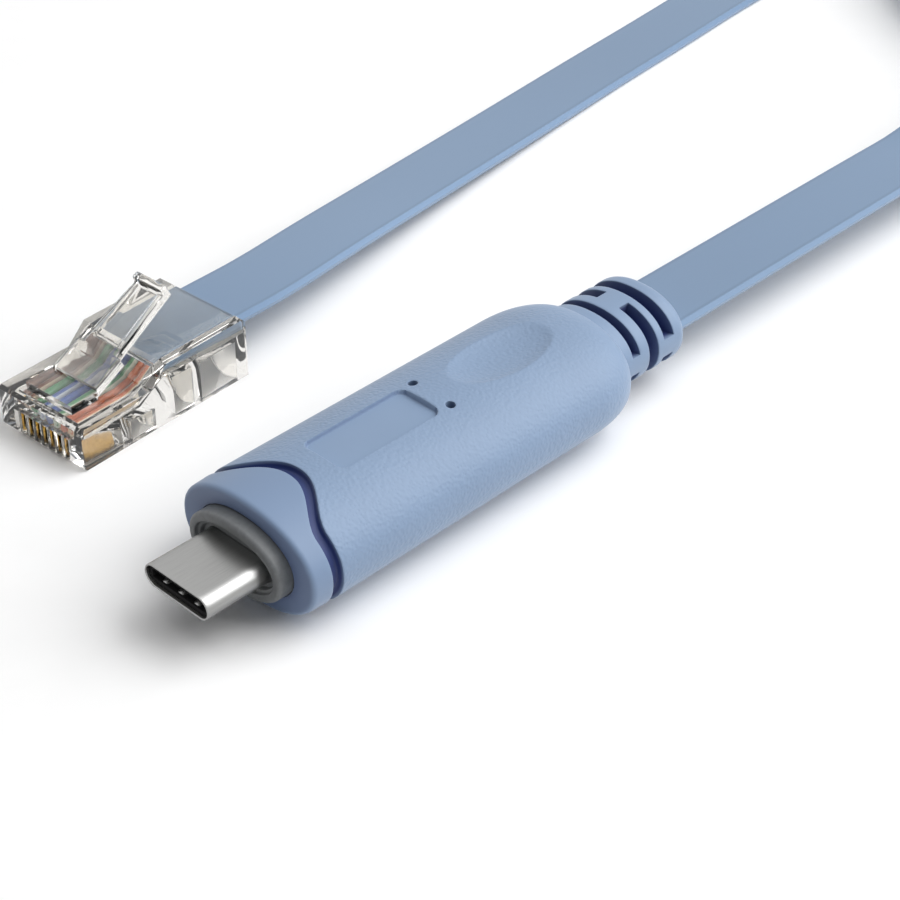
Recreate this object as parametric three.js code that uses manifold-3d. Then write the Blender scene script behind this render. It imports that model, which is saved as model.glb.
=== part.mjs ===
// Console cable: a flat light-blue lead with a moulded USB-C plug housing on one end and a clear 8-way
// modular plug on the other. Millimetres, +Z up. The long axis of the housing is X, its plug points to -X,
// and the origin is on the surface that it lies on, under the middle of the housing and its plug.

import * as THREE from 'three';
import { mergeVertices } from 'three/addons/utils/BufferGeometryUtils.js';
import Module from 'manifold-3d';

const wasm = await Module();
wasm.setup();

// Gaps between pieces
const FIT = 0.1; // between rigid pieces that are pressed or moulded together
const CORD_GAP = 0.3; // between a stretch of the lead and what it meets

// USB-C plug shell, measured from its tip
const SHELL_WIDTH = 8.25;
const SHELL_HEIGHT = 2.4;
const SHELL_WALL = 0.3;
const SHELL_EXPOSED = 6.3;
const SHELL_ROOT = 3; // length hidden in the collar and the housing
const INSERT_SETBACK = 0.3;
const INSERT_LENGTH = 8;
const MOUTH_WIDTH = 6.7;
const MOUTH_HEIGHT = 0.8;
const MOUTH_DEPTH = 5.2;
const SPRING_THICK = 0.12;
const SPRING_LENGTH = 1.3;
const SPRING_SETBACK = 0.5; // behind the mouth's edge
const SPRING_BUMP = 0.12;
const SPRING_BUMP_WIDTH = 0.7;
const SPRING_BUMP_PITCH = 2.05;
const SPRING_WIDTH = 5.74;

// Collar round the root of the shell
const COLLAR_WIDTH = 11.8;
const COLLAR_HEIGHT = 7.2;
const COLLAR_PROUD = 1.55; // in front of the nose
const COLLAR_SEAT = 1.4; // sunk into the nose
const COLLAR_EDGE = 0.35;

// Housing, an oval section that tapers into a slotted strain relief
const BODY_WIDTH = 17.2;
const BODY_HEIGHT = 10.7;
const OVAL_POWER = 2.15; // 2 is an ellipse
const NOSE_SHRINK = 0.15; // the nose face is smaller by this all round
const NOSE_EDGE = 0.4;
const NOSE_DRAFT_LENGTH = 3;
const BODY_LENGTH = 36.4; // nose face to the start of the shoulder
const SHOULDER_LENGTH = 6.3;
const SHOULDER_POWER = 2.1;
const RELIEF_WIDTH = 11.1;
const RELIEF_HEIGHT = 7.95;
const RELIEF_LENGTH = 9.4;
const RELIEF_END_EDGE = 1.1;

// Wave groove between the nose cap and the body
const GROOVE_WIDTH = 1.15;
const GROOVE_DEPTH = 0.75;
const GROOVE_BACK = 2.75; // nose face to the groove's centre at the sides
const WAVE_REACH = 3.05; // how far the wave bulges to the rear on top and below
const WAVE_SPREAD = 50; // degrees each side of the top

// Label recess, lamp holes and thumb dip on top
const LABEL_FRONT = 8.95; // nose face to the recess
const LABEL_LENGTH = 12.1;
const LABEL_WIDTH = 5.2;
const LABEL_CORNER = 0.9;
const LABEL_DEPTH = 0.55;
const LAMP_BACK = 22.4; // nose face to the lamp holes
const LAMP_SPACING = 4.8;
const LAMP_BORE = 0.95;
const LAMP_DEPTH = 1.6;
const DIP_BACK = 31.4; // nose face to the dip's middle
const DIP_LENGTH = 12.4;
const DIP_WIDTH = 7.4;
const DIP_DEPTH = 0.75;

// Slots of the strain relief: rings of slots with a bridge left between them
const SLOT_STARTS = [1.45, 3.8, 6.05]; // from the start of the strain relief
const SLOT_LENGTHS = [1.05, 1.35, 1.4];
const SLOT_DEPTH = 1.5;
const BRIDGE_HALF_TALL = 1.05; // bridges at the sides of the first and third ring
const BRIDGE_HALF_WIDE = 1.45; // bridges at the top and bottom of the second ring

// Flat lead
const LEAD_WIDTH = 8.4;
const LEAD_THICK = 1.2;
const LEAD_CHAMFER = 0.3;
const LEAD_REST = 0.1; // under a lead that stands on its edge
const STAND_Z = LEAD_WIDTH / 2 + LEAD_REST;

// The lead's coil: both strands wound together on edge round a fold in the middle
const COIL_CENTRE = [153.8, 0.8];
const COIL_INNER = 28; // centreline of the innermost turn
const COIL_OUTER = 47.3; // centreline of the outermost turn, where the plug's strand joins at the top
const COIL_FOLD_ANGLE = 172.4; // degrees, where the housing's strand leaves the turns for the fold
const BEND_CENTRE = [87.7, 24.86]; // the housing's strand bends round this on its way to the coil
const TURN_GAP = 0.1; // between the outermost or innermost turn and the ring's face
const TIE_ANGLE = 215; // degrees round the coil
const TIE_WIDTH = 4;
const TIE_THICK = 0.6;
const TIE_SPARE = 0.75; // room over the turns, which ride up over the tie there

// Modular plug: u runs from its front to its rear, v across, w up
const PLUG_FRONT = [-21.2, 30.5];
const PLUG_HEADING = 3.5; // degrees
const PLUG_LENGTH = 21.46;
const PLUG_WIDTH = 11.68;
const PLUG_HEIGHT = 6.6;
const NOSE_TOP = 4.6;
const RISE_START = 8.8;
const RISE_END = 11;
const PLUG_EDGE = 0.35;
const ROOT_BLOCK_FRONT = 1.3;
const ROOT_BLOCK_TOP = 5.55;
const ROOT_BLOCK_WIDTH = 6.4;
const CONTACT_PITCH = 1.02;
const CONTACTS = 8;
const CONTACT_THICK = 0.32;
const CONTACT_FRONT = 0.5;
const CONTACT_LENGTH = 4.2;
const CONTACT_BOTTOM = 0.25;
const CONTACT_TOP = 2.55;
const SLOT_SIDE_GAP = 0.12;
const SLOT_REAR = 5.6;
const CORE_BORE = 0.84;
const CORE_LEVEL = 3.25;
const CORE_FRONT = 1.3;
const CORE_RISE_START = 7.6;
const JACKET_START = 11.2; // front end of the lead's jacket inside the plug
const JACKET_LEVEL = 5.2;
const POCKETS = [[6.7, 9.7, 1.9], [12.2, 14.7, 3.9], [15.7, 20.4, 3.9]]; // from, to, depth from below
const POCKET_WIDTH = 8.2;

// Latch of the modular plug
const HINGE_U = 4.75;
const HINGE_LIFT = 0.2; // the hinge line, under the plate's root, above the plug's nose
const LATCH_SLOPE = 27; // degrees at rest
const LATCH_THICK = 0.95;
const LATCH_PLATE_LENGTH = 4.1;
const LATCH_PLATE_WIDTH = 6.2;
const LATCH_LENGTH = 12.6;
const LATCH_HANDLE_ROOT = 4.8;
const LATCH_HANDLE_END = 3.9;
const LATCH_CHANNEL_DEPTH = 0.45;
const LATCH_RAIL = 0.75;
const LATCH_LIP = 0.75;

// Derived places
const NOSE_X = SHELL_EXPOSED + COLLAR_PROUD; // from the plug's tip
const RELIEF_START = NOSE_X + BODY_LENGTH + SHOULDER_LENGTH;
const TOTAL_LENGTH = RELIEF_START + RELIEF_LENGTH;
const AXIS_Z = BODY_HEIGHT / 2;
const HALF_LENGTH = TOTAL_LENGTH / 2;
const AROUND = 64;

const DEGREE = Math.PI / 180;

// Finishes
const finish = (color, roughness, metalness = 0) =>
  new THREE.MeshStandardMaterial({ color, roughness, metalness });
const PVC_BLUE = finish(0x8ea6c6, 0.6);
const LEAD_BLUE = finish(0x8ba3c0, 0.45);
const STEEL = finish(0xbdbdb9, 0.3, 1);
const BLACK_RESIN = finish(0x111113, 0.5);
const COLLAR_GREY = finish(0x7c7c80, 0.5);
const GOLD = finish(0xc9a24a, 0.3, 1);
const CLEAR = finish(0xd8d4cc, 0.1);
const TIE_BLACK = finish(0x1b1c1e, 0.6);
const CORE_COLOURS = [0xd9c2a8, 0xd06a2c, 0xc9d8c4, 0x2f56a8, 0xc4cfe0, 0x3d8a5c, 0xd8c8bc, 0x7a4a30];

const group = new THREE.Group();

function add(name, geometry, material, parent = group) {
  const mesh = new THREE.Mesh(geometry, material);
  mesh.name = name;
  parent.add(mesh);
  return mesh;
}

// A closed geometry with its shared vertices merged and no empty triangles
function welded(geometry) {
  const bare = geometry.clone();
  bare.deleteAttribute('normal');
  bare.deleteAttribute('uv');
  const merged = mergeVertices(bare, 1e-4);
  const index = merged.index.array;
  const kept = [];
  for (let i = 0; i < index.length; i += 3) {
    const [a, b, c] = [index[i], index[i + 1], index[i + 2]];
    if (a !== b && b !== c && c !== a) kept.push(a, b, c);
  }
  merged.setIndex(kept);
  return merged;
}

function toSolid(geometry) {
  const bare = welded(geometry);
  const mesh = new wasm.Mesh({
    numProp: 3,
    vertProperties: new Float32Array(bare.attributes.position.array),
    triVerts: new Uint32Array(bare.index.array),
  });
  return new wasm.Manifold(mesh);
}

function toGeometry(solid) {
  const { vertProperties, triVerts } = solid.getMesh();
  const geometry = new THREE.BufferGeometry();
  geometry.setAttribute('position', new THREE.BufferAttribute(vertProperties, 3));
  geometry.setIndex(new THREE.BufferAttribute(triVerts, 1));
  geometry.computeVertexNormals();
  return geometry;
}

function cut(geometry, tools) {
  return toGeometry(tools.reduce((solid, tool) => solid.subtract(toSolid(tool)), toSolid(geometry)));
}

// A box between two corners
function block([x0, y0, z0], [x1, y1, z1]) {
  const geometry = new THREE.BoxGeometry(x1 - x0, y1 - y0, z1 - z0);
  return geometry.translate((x0 + x1) / 2, (y0 + y1) / 2, (z0 + z1) / 2);
}

// Turns a shape drawn across the lead, x to Y and y to Z, into a bar along X
const ALONG_X = new THREE.Matrix4().makeBasis(
  new THREE.Vector3(0, 1, 0), new THREE.Vector3(0, 0, 1), new THREE.Vector3(1, 0, 0));

function barAlongX(shape, from, to, curveSegments = 8) {
  const geometry = new THREE.ExtrudeGeometry(shape, { depth: to - from, bevelEnabled: false, curveSegments });
  return geometry.applyMatrix4(ALONG_X).translate(from, 0, 0);
}

// A rectangle with fully round ends
function stadium(width, height, path = new THREE.Shape()) {
  const radius = height / 2;
  const reach = width / 2 - radius;
  path.absarc(reach, 0, radius, -Math.PI / 2, Math.PI / 2);
  path.absarc(-reach, 0, radius, Math.PI / 2, 1.5 * Math.PI);
  path.closePath();
  return path;
}

function roundedRectangle(length, width, radius, path = new THREE.Shape()) {
  const [x, y] = [length / 2 - radius, width / 2 - radius];
  path.absarc(x, y, radius, 0, Math.PI / 2);
  path.absarc(-x, y, radius, Math.PI / 2, Math.PI);
  path.absarc(-x, -y, radius, Math.PI, 1.5 * Math.PI);
  path.absarc(x, -y, radius, 1.5 * Math.PI, 2 * Math.PI);
  path.closePath();
  return path;
}

// Turns a row of half sizes along X into an oval body: a lathe gives the rings, each pressed to its oval.
// A row of no size is a point on the axis. A row's x may vary with the angle round the axis, from +Y to +Z.
function ovalBody(rows, around = AROUND, power = OVAL_POWER) {
  const profile = rows.map((row, j) => new THREE.Vector2(row.wide === 0 ? 0 : 1, j));
  const geometry = new THREE.LatheGeometry(profile, around);
  const place = geometry.attributes.position;
  for (let i = 0; i < place.count; i += 1) {
    const row = rows[i % rows.length];
    const step = Math.floor(i / rows.length) % around;
    const angle = (2 * Math.PI * step) / around;
    const [c, s] = [Math.cos(angle), Math.sin(angle)];
    const x = typeof row.x === 'function' ? row.x(angle) : row.x;
    const y = row.wide * Math.sign(c) * Math.abs(c) ** (2 / power);
    const z = row.tall * Math.sign(s) * Math.abs(s) ** (2 / power);
    place.setXYZ(i, x, y, z);
  }
  return geometry;
}

// A ring round an oval section, from `depth` inside its surface to well outside it
function ovalRing(wide, tall, depth, from, to) {
  const inner = { wide: wide - depth, tall: tall - depth };
  const outer = { wide: wide + 1, tall: tall + 1 };
  return ovalBody([
    { x: from, ...inner }, { x: from, ...outer }, { x: to, ...outer }, { x: to, ...inner },
    { x: from, ...inner },
  ]);
}

// Housing

const bodyHalf = { wide: BODY_WIDTH / 2, tall: BODY_HEIGHT / 2 };
const reliefHalf = { wide: RELIEF_WIDTH / 2, tall: RELIEF_HEIGHT / 2 };
const shrunk = (half, by) => ({ wide: half.wide - by, tall: half.tall - by });

function shoulderRow(t) {
  const share = (1 - t ** SHOULDER_POWER) ** (1 / SHOULDER_POWER);
  const mix = (from, to) => to + (from - to) * share;
  return {
    x: NOSE_X + BODY_LENGTH + SHOULDER_LENGTH * t,
    wide: mix(bodyHalf.wide, reliefHalf.wide),
    tall: mix(bodyHalf.tall, reliefHalf.tall),
  };
}

function housingShell() {
  const rows = [{ x: NOSE_X, wide: 0, tall: 0 }];
  for (const [back, inset] of [[0, NOSE_EDGE], [NOSE_EDGE * 0.3, NOSE_EDGE * 0.3], [NOSE_EDGE, 0]]) {
    rows.push({ x: NOSE_X + back, ...shrunk(bodyHalf, NOSE_SHRINK + inset) });
  }
  rows.push({ x: NOSE_X + NOSE_DRAFT_LENGTH, ...bodyHalf });
  rows.push({ x: NOSE_X + (NOSE_DRAFT_LENGTH + BODY_LENGTH) / 2, ...bodyHalf });
  for (const t of [0, 0.3, 0.5, 0.68, 0.82, 0.92, 0.98, 1]) rows.push(shoulderRow(t));
  const endEdge = TOTAL_LENGTH - RELIEF_END_EDGE;
  for (const turn of [0, 30, 60, 90]) {
    const inset = RELIEF_END_EDGE * (1 - Math.cos(turn * DEGREE));
    rows.push({ x: endEdge + RELIEF_END_EDGE * Math.sin(turn * DEGREE), ...shrunk(reliefHalf, inset) });
  }
  rows.push({ x: TOTAL_LENGTH, wide: 0, tall: 0 });
  return ovalBody(rows);
}

// The groove's centre, drawn back in a smooth wave round the top and the bottom
function groovePlace(angle) {
  const off = Math.acos(Math.min(1, Math.abs(Math.sin(angle)))) / DEGREE;
  const share = off < WAVE_SPREAD ? Math.cos((Math.PI / 2) * (off / WAVE_SPREAD)) ** 2 : 0;
  return NOSE_X + GROOVE_BACK + WAVE_REACH * share;
}

function waveGroove() {
  const front = (angle) => groovePlace(angle) - GROOVE_WIDTH / 2;
  const rear = (angle) => groovePlace(angle) + GROOVE_WIDTH / 2;
  const floor = shrunk(bodyHalf, GROOVE_DEPTH);
  const outside = shrunk(bodyHalf, -1);
  return ovalBody([
    { x: front, ...floor }, { x: front, ...outside }, { x: rear, ...outside }, { x: rear, ...floor },
    { x: front, ...floor },
  ]);
}

function reliefSlots() {
  const tools = [];
  SLOT_STARTS.forEach((start, ring) => {
    const from = RELIEF_START + start;
    const to = from + SLOT_LENGTHS[ring];
    const whole = ovalRing(reliefHalf.wide, reliefHalf.tall, SLOT_DEPTH, from, to);
    const far = BODY_WIDTH;
    const sides = ring % 2 === 0;
    const [halfY, halfZ] = sides ? [far, BRIDGE_HALF_TALL] : [BRIDGE_HALF_WIDE, far];
    tools.push(cut(whole, [block([from - 1, -halfY, -halfZ], [to + 1, halfY, halfZ])]));
  });
  return tools;
}

function lampHole(side) {
  const hole = new THREE.CylinderGeometry(LAMP_BORE / 2, LAMP_BORE / 2, LAMP_DEPTH + 1, 12);
  hole.rotateX(Math.PI / 2);
  const top = bodyHalf.tall + 1 - (LAMP_DEPTH + 1) / 2;
  return hole.translate(NOSE_X + LAMP_BACK, (side * LAMP_SPACING) / 2, top);
}

function labelRecess() {
  const shape = roundedRectangle(LABEL_LENGTH, LABEL_WIDTH, LABEL_CORNER);
  const tool = new THREE.ExtrudeGeometry(shape, { depth: 2, bevelEnabled: false, curveSegments: 4 });
  return tool.translate(NOSE_X + LABEL_FRONT + LABEL_LENGTH / 2, 0, bodyHalf.tall - LABEL_DEPTH);
}

// The dip is the underside of a flat egg: its rim on the body's crown is the oval that shows
function thumbDip() {
  const cap = 2.2 * DIP_DEPTH;
  const rim = Math.sqrt(1 - (1 - DIP_DEPTH / cap) ** 2);
  const egg = new THREE.SphereGeometry(1, 28, 14);
  egg.scale(DIP_LENGTH / 2 / rim, DIP_WIDTH / 2 / rim, cap);
  return egg.translate(NOSE_X + DIP_BACK, 0, bodyHalf.tall + cap - DIP_DEPTH);
}

function collarPocket() {
  const half = { wide: COLLAR_WIDTH / 2 + FIT, tall: COLLAR_HEIGHT / 2 + FIT };
  const floor = NOSE_X + Math.max(COLLAR_SEAT, SHELL_ROOT - COLLAR_PROUD) + FIT;
  return ovalBody([
    { x: NOSE_X - 1, wide: 0, tall: 0 }, { x: NOSE_X - 1, ...half }, { x: floor, ...half },
    { x: floor, wide: 0, tall: 0 },
  ], 40);
}

const housingPlace = new THREE.Group();
housingPlace.position.set(-HALF_LENGTH, 0, AXIS_Z);
group.add(housingPlace);

const housing = cut(housingShell(), [
  waveGroove(), labelRecess(), lampHole(1), lampHole(-1), thumbDip(), collarPocket(), ...reliefSlots(),
]);
add('housing', housing, PVC_BLUE, housingPlace);

// USB-C plug

function tubeAlongX(outer, hole, from, to, segments) {
  outer.holes.push(hole);
  return barAlongX(outer, from, to, segments);
}

const shellInnerWidth = SHELL_WIDTH - 2 * SHELL_WALL;
const shellInnerHeight = SHELL_HEIGHT - 2 * SHELL_WALL;
const shell = tubeAlongX(stadium(SHELL_WIDTH, SHELL_HEIGHT),
  stadium(shellInnerWidth, shellInnerHeight, new THREE.Path()), 0, SHELL_EXPOSED + SHELL_ROOT, 10);
add('usb_c_shell', shell, STEEL, housingPlace);

const insertBar = barAlongX(stadium(shellInnerWidth - 2 * FIT, shellInnerHeight - 2 * FIT),
  INSERT_SETBACK, INSERT_SETBACK + INSERT_LENGTH, 8);
const mouth = block([INSERT_SETBACK - 1, -MOUTH_WIDTH / 2, -MOUTH_HEIGHT / 2],
  [INSERT_SETBACK + MOUTH_DEPTH, MOUTH_WIDTH / 2, MOUTH_HEIGHT / 2]);
add('usb_c_insert', cut(insertBar, [mouth]), BLACK_RESIN, housingPlace);

// A thin strip on the mouth's floor or roof, with three pressed bumps
function groundSpring(side) {
  const half = SPRING_WIDTH / 2;
  const floor = MOUTH_HEIGHT / 2 - FIT / 2;
  const bumpHalf = SPRING_BUMP_WIDTH / 2;
  const shape = new THREE.Shape();
  shape.moveTo(-half, -floor);
  shape.lineTo(half, -floor);
  shape.lineTo(half, -floor + SPRING_THICK);
  for (const k of [1, 0, -1]) {
    const middle = k * SPRING_BUMP_PITCH;
    shape.lineTo(middle + bumpHalf, -floor + SPRING_THICK);
    shape.lineTo(middle, -floor + SPRING_THICK + SPRING_BUMP);
    shape.lineTo(middle - bumpHalf, -floor + SPRING_THICK);
  }
  shape.lineTo(-half, -floor + SPRING_THICK);
  shape.closePath();
  const from = INSERT_SETBACK + SPRING_SETBACK;
  const strip = barAlongX(shape, from, from + SPRING_LENGTH, 1);
  return side < 0 ? strip : strip.rotateX(Math.PI);
}
add('ground_spring_lower', groundSpring(-1), STEEL, housingPlace);
add('ground_spring_upper', groundSpring(1), STEEL, housingPlace);

const collarHalf = { wide: COLLAR_WIDTH / 2, tall: COLLAR_HEIGHT / 2 };
const collarBlank = ovalBody([
  { x: SHELL_EXPOSED, wide: 0, tall: 0 },
  { x: SHELL_EXPOSED, ...shrunk(collarHalf, COLLAR_EDGE) },
  { x: SHELL_EXPOSED + COLLAR_EDGE * 0.3, ...shrunk(collarHalf, COLLAR_EDGE * 0.3) },
  { x: SHELL_EXPOSED + COLLAR_EDGE, ...collarHalf },
  { x: NOSE_X + COLLAR_SEAT, ...collarHalf },
  { x: NOSE_X + COLLAR_SEAT, wide: 0, tall: 0 },
], 40);
const shellPassage = barAlongX(stadium(SHELL_WIDTH + 2 * FIT, SHELL_HEIGHT + 2 * FIT),
  SHELL_EXPOSED - 1, NOSE_X + COLLAR_SEAT + 1, 10);
add('plug_collar', cut(collarBlank, [shellPassage]), COLLAR_GREY, housingPlace);

// Flat lead: a line through chosen points whose flat side lies level, then turns up on edge

class FlatLeadCurve extends THREE.CatmullRomCurve3 {
  constructor(points, turnFrom, turnTo) {
    super(points.map((p) => new THREE.Vector3(...p)), false, 'centripetal');
    this.turnFrom = turnFrom;
    this.turnTo = turnTo;
  }

  // Turn about its own line at a place along X: 0 lying flat, a right angle standing on edge
  turnAt(x) {
    return (Math.PI / 2) * THREE.MathUtils.smoothstep(x, this.turnFrom, this.turnTo);
  }

  computeFrenetFrames(segments) {
    const frames = { tangents: [], normals: [], binormals: [] };
    for (let i = 0; i <= segments; i += 1) {
      const u = i / segments;
      const tangent = this.getTangentAt(u);
      const level = new THREE.Vector3(0, 0, 1).cross(tangent).normalize();
      const up = tangent.clone().cross(level);
      const turn = this.turnAt(this.getPointAt(u).x);
      const across = level.multiplyScalar(Math.cos(turn)).addScaledVector(up, Math.sin(turn));
      frames.tangents.push(tangent);
      frames.normals.push(across);
      frames.binormals.push(tangent.clone().cross(across));
    }
    return frames;
  }
}

function leadSection() {
  const [x, y, c] = [LEAD_WIDTH / 2, LEAD_THICK / 2, LEAD_CHAMFER];
  const corners = [[x, -y + c], [x, y - c], [x - c, y], [-x + c, y], [-x, y - c], [-x, -y + c], [-x + c, -y],
    [x - c, -y]];
  return new THREE.Shape(corners.map((corner) => new THREE.Vector2(...corner)));
}

function leadStretch(curve, steps) {
  return new THREE.ExtrudeGeometry(leadSection(), { steps, extrudePath: curve, bevelEnabled: false });
}

// From the strain relief, level, then down on edge to where it meets the coil's outer turn
const leadExitX = HALF_LENGTH + CORD_GAP;
const onBend = (turned, z) => [
  BEND_CENTRE[0] + BEND_CENTRE[1] * Math.sin(turned * DEGREE),
  BEND_CENTRE[1] * (1 - Math.cos(turned * DEGREE)), z,
];
const housingStretch = new FlatLeadCurve([
  [leadExitX, 0, AXIS_Z], [42, 0, AXIS_Z], [55, 0, AXIS_Z], [66, 0, AXIS_Z], [74, 0, 5.32], [81, 0, 5.18],
  onBend(0, 4.9), onBend(15, 4.62), onBend(30, 4.38), onBend(45, STAND_Z),
], 74, 102);
add('lead_housing_stretch', leadStretch(housingStretch, 20), LEAD_BLUE);

// From inside the modular plug along the surface, up on edge and round to the coil's outer turn
const plugPlace = new THREE.Group();
plugPlace.position.set(PLUG_FRONT[0], PLUG_FRONT[1], 0);
plugPlace.rotation.z = PLUG_HEADING * DEGREE;
group.add(plugPlace);
plugPlace.updateMatrixWorld(true);
const inPlug = (u, w) => new THREE.Vector3(u, 0, w).applyMatrix4(plugPlace.matrix).toArray();

const LYING_Z = LEAD_THICK / 2 + LEAD_REST / 2;
const plugStretch = new FlatLeadCurve([
  inPlug(JACKET_START, JACKET_LEVEL), inPlug(16, JACKET_LEVEL), inPlug(PLUG_LENGTH, JACKET_LEVEL),
  [8, 32.6, 4.75], [19, 35, 3.8], [33, 38, 2.4], [52, 41.3, 1.2], [73, 44.2, LYING_Z], [87, 45.6, LYING_Z],
  [98.5, 46.9, LYING_Z], [106, 47.5, LYING_Z], [112, 47.8, 1.12], [118, 47.95, 2.23], [124, 48.05, 3.4],
  [130, 48.1, 4.11], [136, 48.1, 4.29], [141, 48.1, STAND_Z],
], 106, 138);
add('lead_plug_stretch', leadStretch(plugStretch, 34), LEAD_BLUE);

// Coil, a ring that the turns fill, notched below for its tie

const turnEdge = LEAD_THICK / 2 + TURN_GAP;
const ringInner = COIL_INNER - turnEdge;
const ringOuter = COIL_OUTER + turnEdge;
const ringTop = STAND_Z + LEAD_WIDTH / 2;
const coilPlace = new THREE.Group();
coilPlace.position.set(COIL_CENTRE[0], COIL_CENTRE[1], 0);
group.add(coilPlace);

const ringProfile = [
  [ringInner, 0], [ringOuter, 0], [ringOuter, ringTop], [ringInner, ringTop], [ringInner, 0],
].map(([r, z]) => new THREE.Vector2(r, z));
const ring = new THREE.LatheGeometry(ringProfile, 72).rotateX(Math.PI / 2);
const tieNotch = block([ringInner - 2, -TIE_WIDTH / 2 - CORD_GAP, -1],
  [ringOuter + 2, TIE_WIDTH / 2 + CORD_GAP, TIE_THICK + CORD_GAP]).rotateZ(TIE_ANGLE * DEGREE);
add('lead_coil', cut(ring, [tieNotch]), LEAD_BLUE, coilPlace);

const tieInner = [ringInner - CORD_GAP, ringOuter + CORD_GAP];
const tieOuterTop = ringTop + TIE_SPARE + TIE_THICK;
const tieBand = block([tieInner[0] - TIE_THICK, -TIE_WIDTH / 2, 0],
  [tieInner[1] + TIE_THICK, TIE_WIDTH / 2, tieOuterTop]);
const tieOpening = block([tieInner[0], -TIE_WIDTH, TIE_THICK], [tieInner[1], TIE_WIDTH, ringTop + TIE_SPARE]);
add('coil_tie', cut(tieBand, [tieOpening]), TIE_BLACK, coilPlace).rotation.z = TIE_ANGLE * DEGREE;

// The fold in the coil's middle: two half circles from the innermost turn to its opposite side
class FoldCurve extends THREE.Curve {
  getPoint(t) {
    const side = t < 0.5 ? 1 : -1;
    const start = foldStart * DEGREE;
    const along = Math.abs(1 - 2 * t);
    const angle = start + (Math.PI - start) * (1 - along);
    const radius = COIL_INNER / 2;
    const x = side * (radius + radius * Math.cos(angle));
    const y = side * -radius * Math.sin(angle);
    const turn = COIL_FOLD_ANGLE * DEGREE;
    const [c, s] = [Math.cos(turn), Math.sin(turn)];
    return new THREE.Vector3(x * c - y * s, x * s + y * c, STAND_Z);
  }

  computeFrenetFrames(segments) {
    const frames = { tangents: [], normals: [], binormals: [] };
    for (let i = 0; i <= segments; i += 1) {
      const tangent = this.getTangentAt(i / segments);
      const across = new THREE.Vector3(0, 0, 1);
      frames.tangents.push(tangent);
      frames.normals.push(across);
      frames.binormals.push(tangent.clone().cross(across));
    }
    return frames;
  }
}
const clearOfTurns = ringInner - CORD_GAP - turnEdge;
const foldStart = (2 * Math.acos(clearOfTurns / COIL_INNER)) / DEGREE;
add('lead_coil_fold', leadStretch(new FoldCurve(), 18), LEAD_BLUE, coilPlace);

// Modular plug, drawn in its own frame

function plugBlank() {
  const shape = new THREE.Shape();
  const e = PLUG_EDGE;
  const outline = [[0, e], [e, 0], [PLUG_LENGTH, 0], [PLUG_LENGTH, PLUG_HEIGHT - e],
    [PLUG_LENGTH - e, PLUG_HEIGHT], [RISE_END, PLUG_HEIGHT], [RISE_START, NOSE_TOP], [e, NOSE_TOP],
    [0, NOSE_TOP - e]];
  outline.forEach(([u, w], i) => (i ? shape.lineTo(u, w) : shape.moveTo(u, w)));
  shape.closePath();
  const geometry = new THREE.ExtrudeGeometry(shape, { depth: PLUG_WIDTH, bevelEnabled: false });
  return geometry.rotateX(Math.PI / 2).translate(0, PLUG_WIDTH / 2, 0);
}

const contactV = (k) => (k - (CONTACTS - 1) / 2) * CONTACT_PITCH;
const coreSpan = CONTACTS * CONTACT_PITCH + FIT;

function coreCavity() {
  const half = CORE_BORE / 2 + FIT;
  const shape = new THREE.Shape();
  const outline = [[CORE_FRONT - FIT, CORE_LEVEL - half], [CORE_RISE_START + 0.4, CORE_LEVEL - half],
    [JACKET_START - CORD_GAP + 0.4, JACKET_LEVEL - half - 0.15], [JACKET_START + 1, JACKET_LEVEL - half],
    [JACKET_START + 1, JACKET_LEVEL + half], [JACKET_START - CORD_GAP - 0.4, JACKET_LEVEL + half],
    [CORE_RISE_START - 0.1, CORE_LEVEL + half], [CORE_FRONT - FIT, CORE_LEVEL + half]];
  outline.forEach(([u, w], i) => (i ? shape.lineTo(u, w) : shape.moveTo(u, w)));
  shape.closePath();
  const geometry = new THREE.ExtrudeGeometry(shape, { depth: coreSpan, bevelEnabled: false });
  return geometry.rotateX(Math.PI / 2).translate(0, coreSpan / 2, 0);
}

function plugBody() {
  const jacketHalf = [LEAD_WIDTH / 2 + FIT, LEAD_THICK / 2 + FIT];
  const tools = [
    coreCavity(),
    block([JACKET_START - CORD_GAP, -jacketHalf[0], JACKET_LEVEL - jacketHalf[1]],
      [PLUG_LENGTH + 1, jacketHalf[0], JACKET_LEVEL + jacketHalf[1]]),
  ];
  for (const [from, to, depth] of POCKETS) {
    tools.push(block([from, -POCKET_WIDTH / 2, -1], [to, POCKET_WIDTH / 2, depth]));
  }
  for (let k = 0; k < CONTACTS; k += 1) {
    const half = CONTACT_THICK / 2 + SLOT_SIDE_GAP;
    tools.push(block([-1, contactV(k) - half, -1], [SLOT_REAR, contactV(k) + half, CONTACT_TOP + 2 * FIT]));
  }
  const rootBlock = block([ROOT_BLOCK_FRONT, -ROOT_BLOCK_WIDTH / 2, NOSE_TOP - 1],
    [HINGE_U - 2 * FIT, ROOT_BLOCK_WIDTH / 2, ROOT_BLOCK_TOP]);
  const whole = toSolid(plugBlank()).add(toSolid(rootBlock));
  return toGeometry(tools.reduce((solid, tool) => solid.subtract(toSolid(tool)), whole));
}
add('modular_plug_body', plugBody(), CLEAR, plugPlace);

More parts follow.
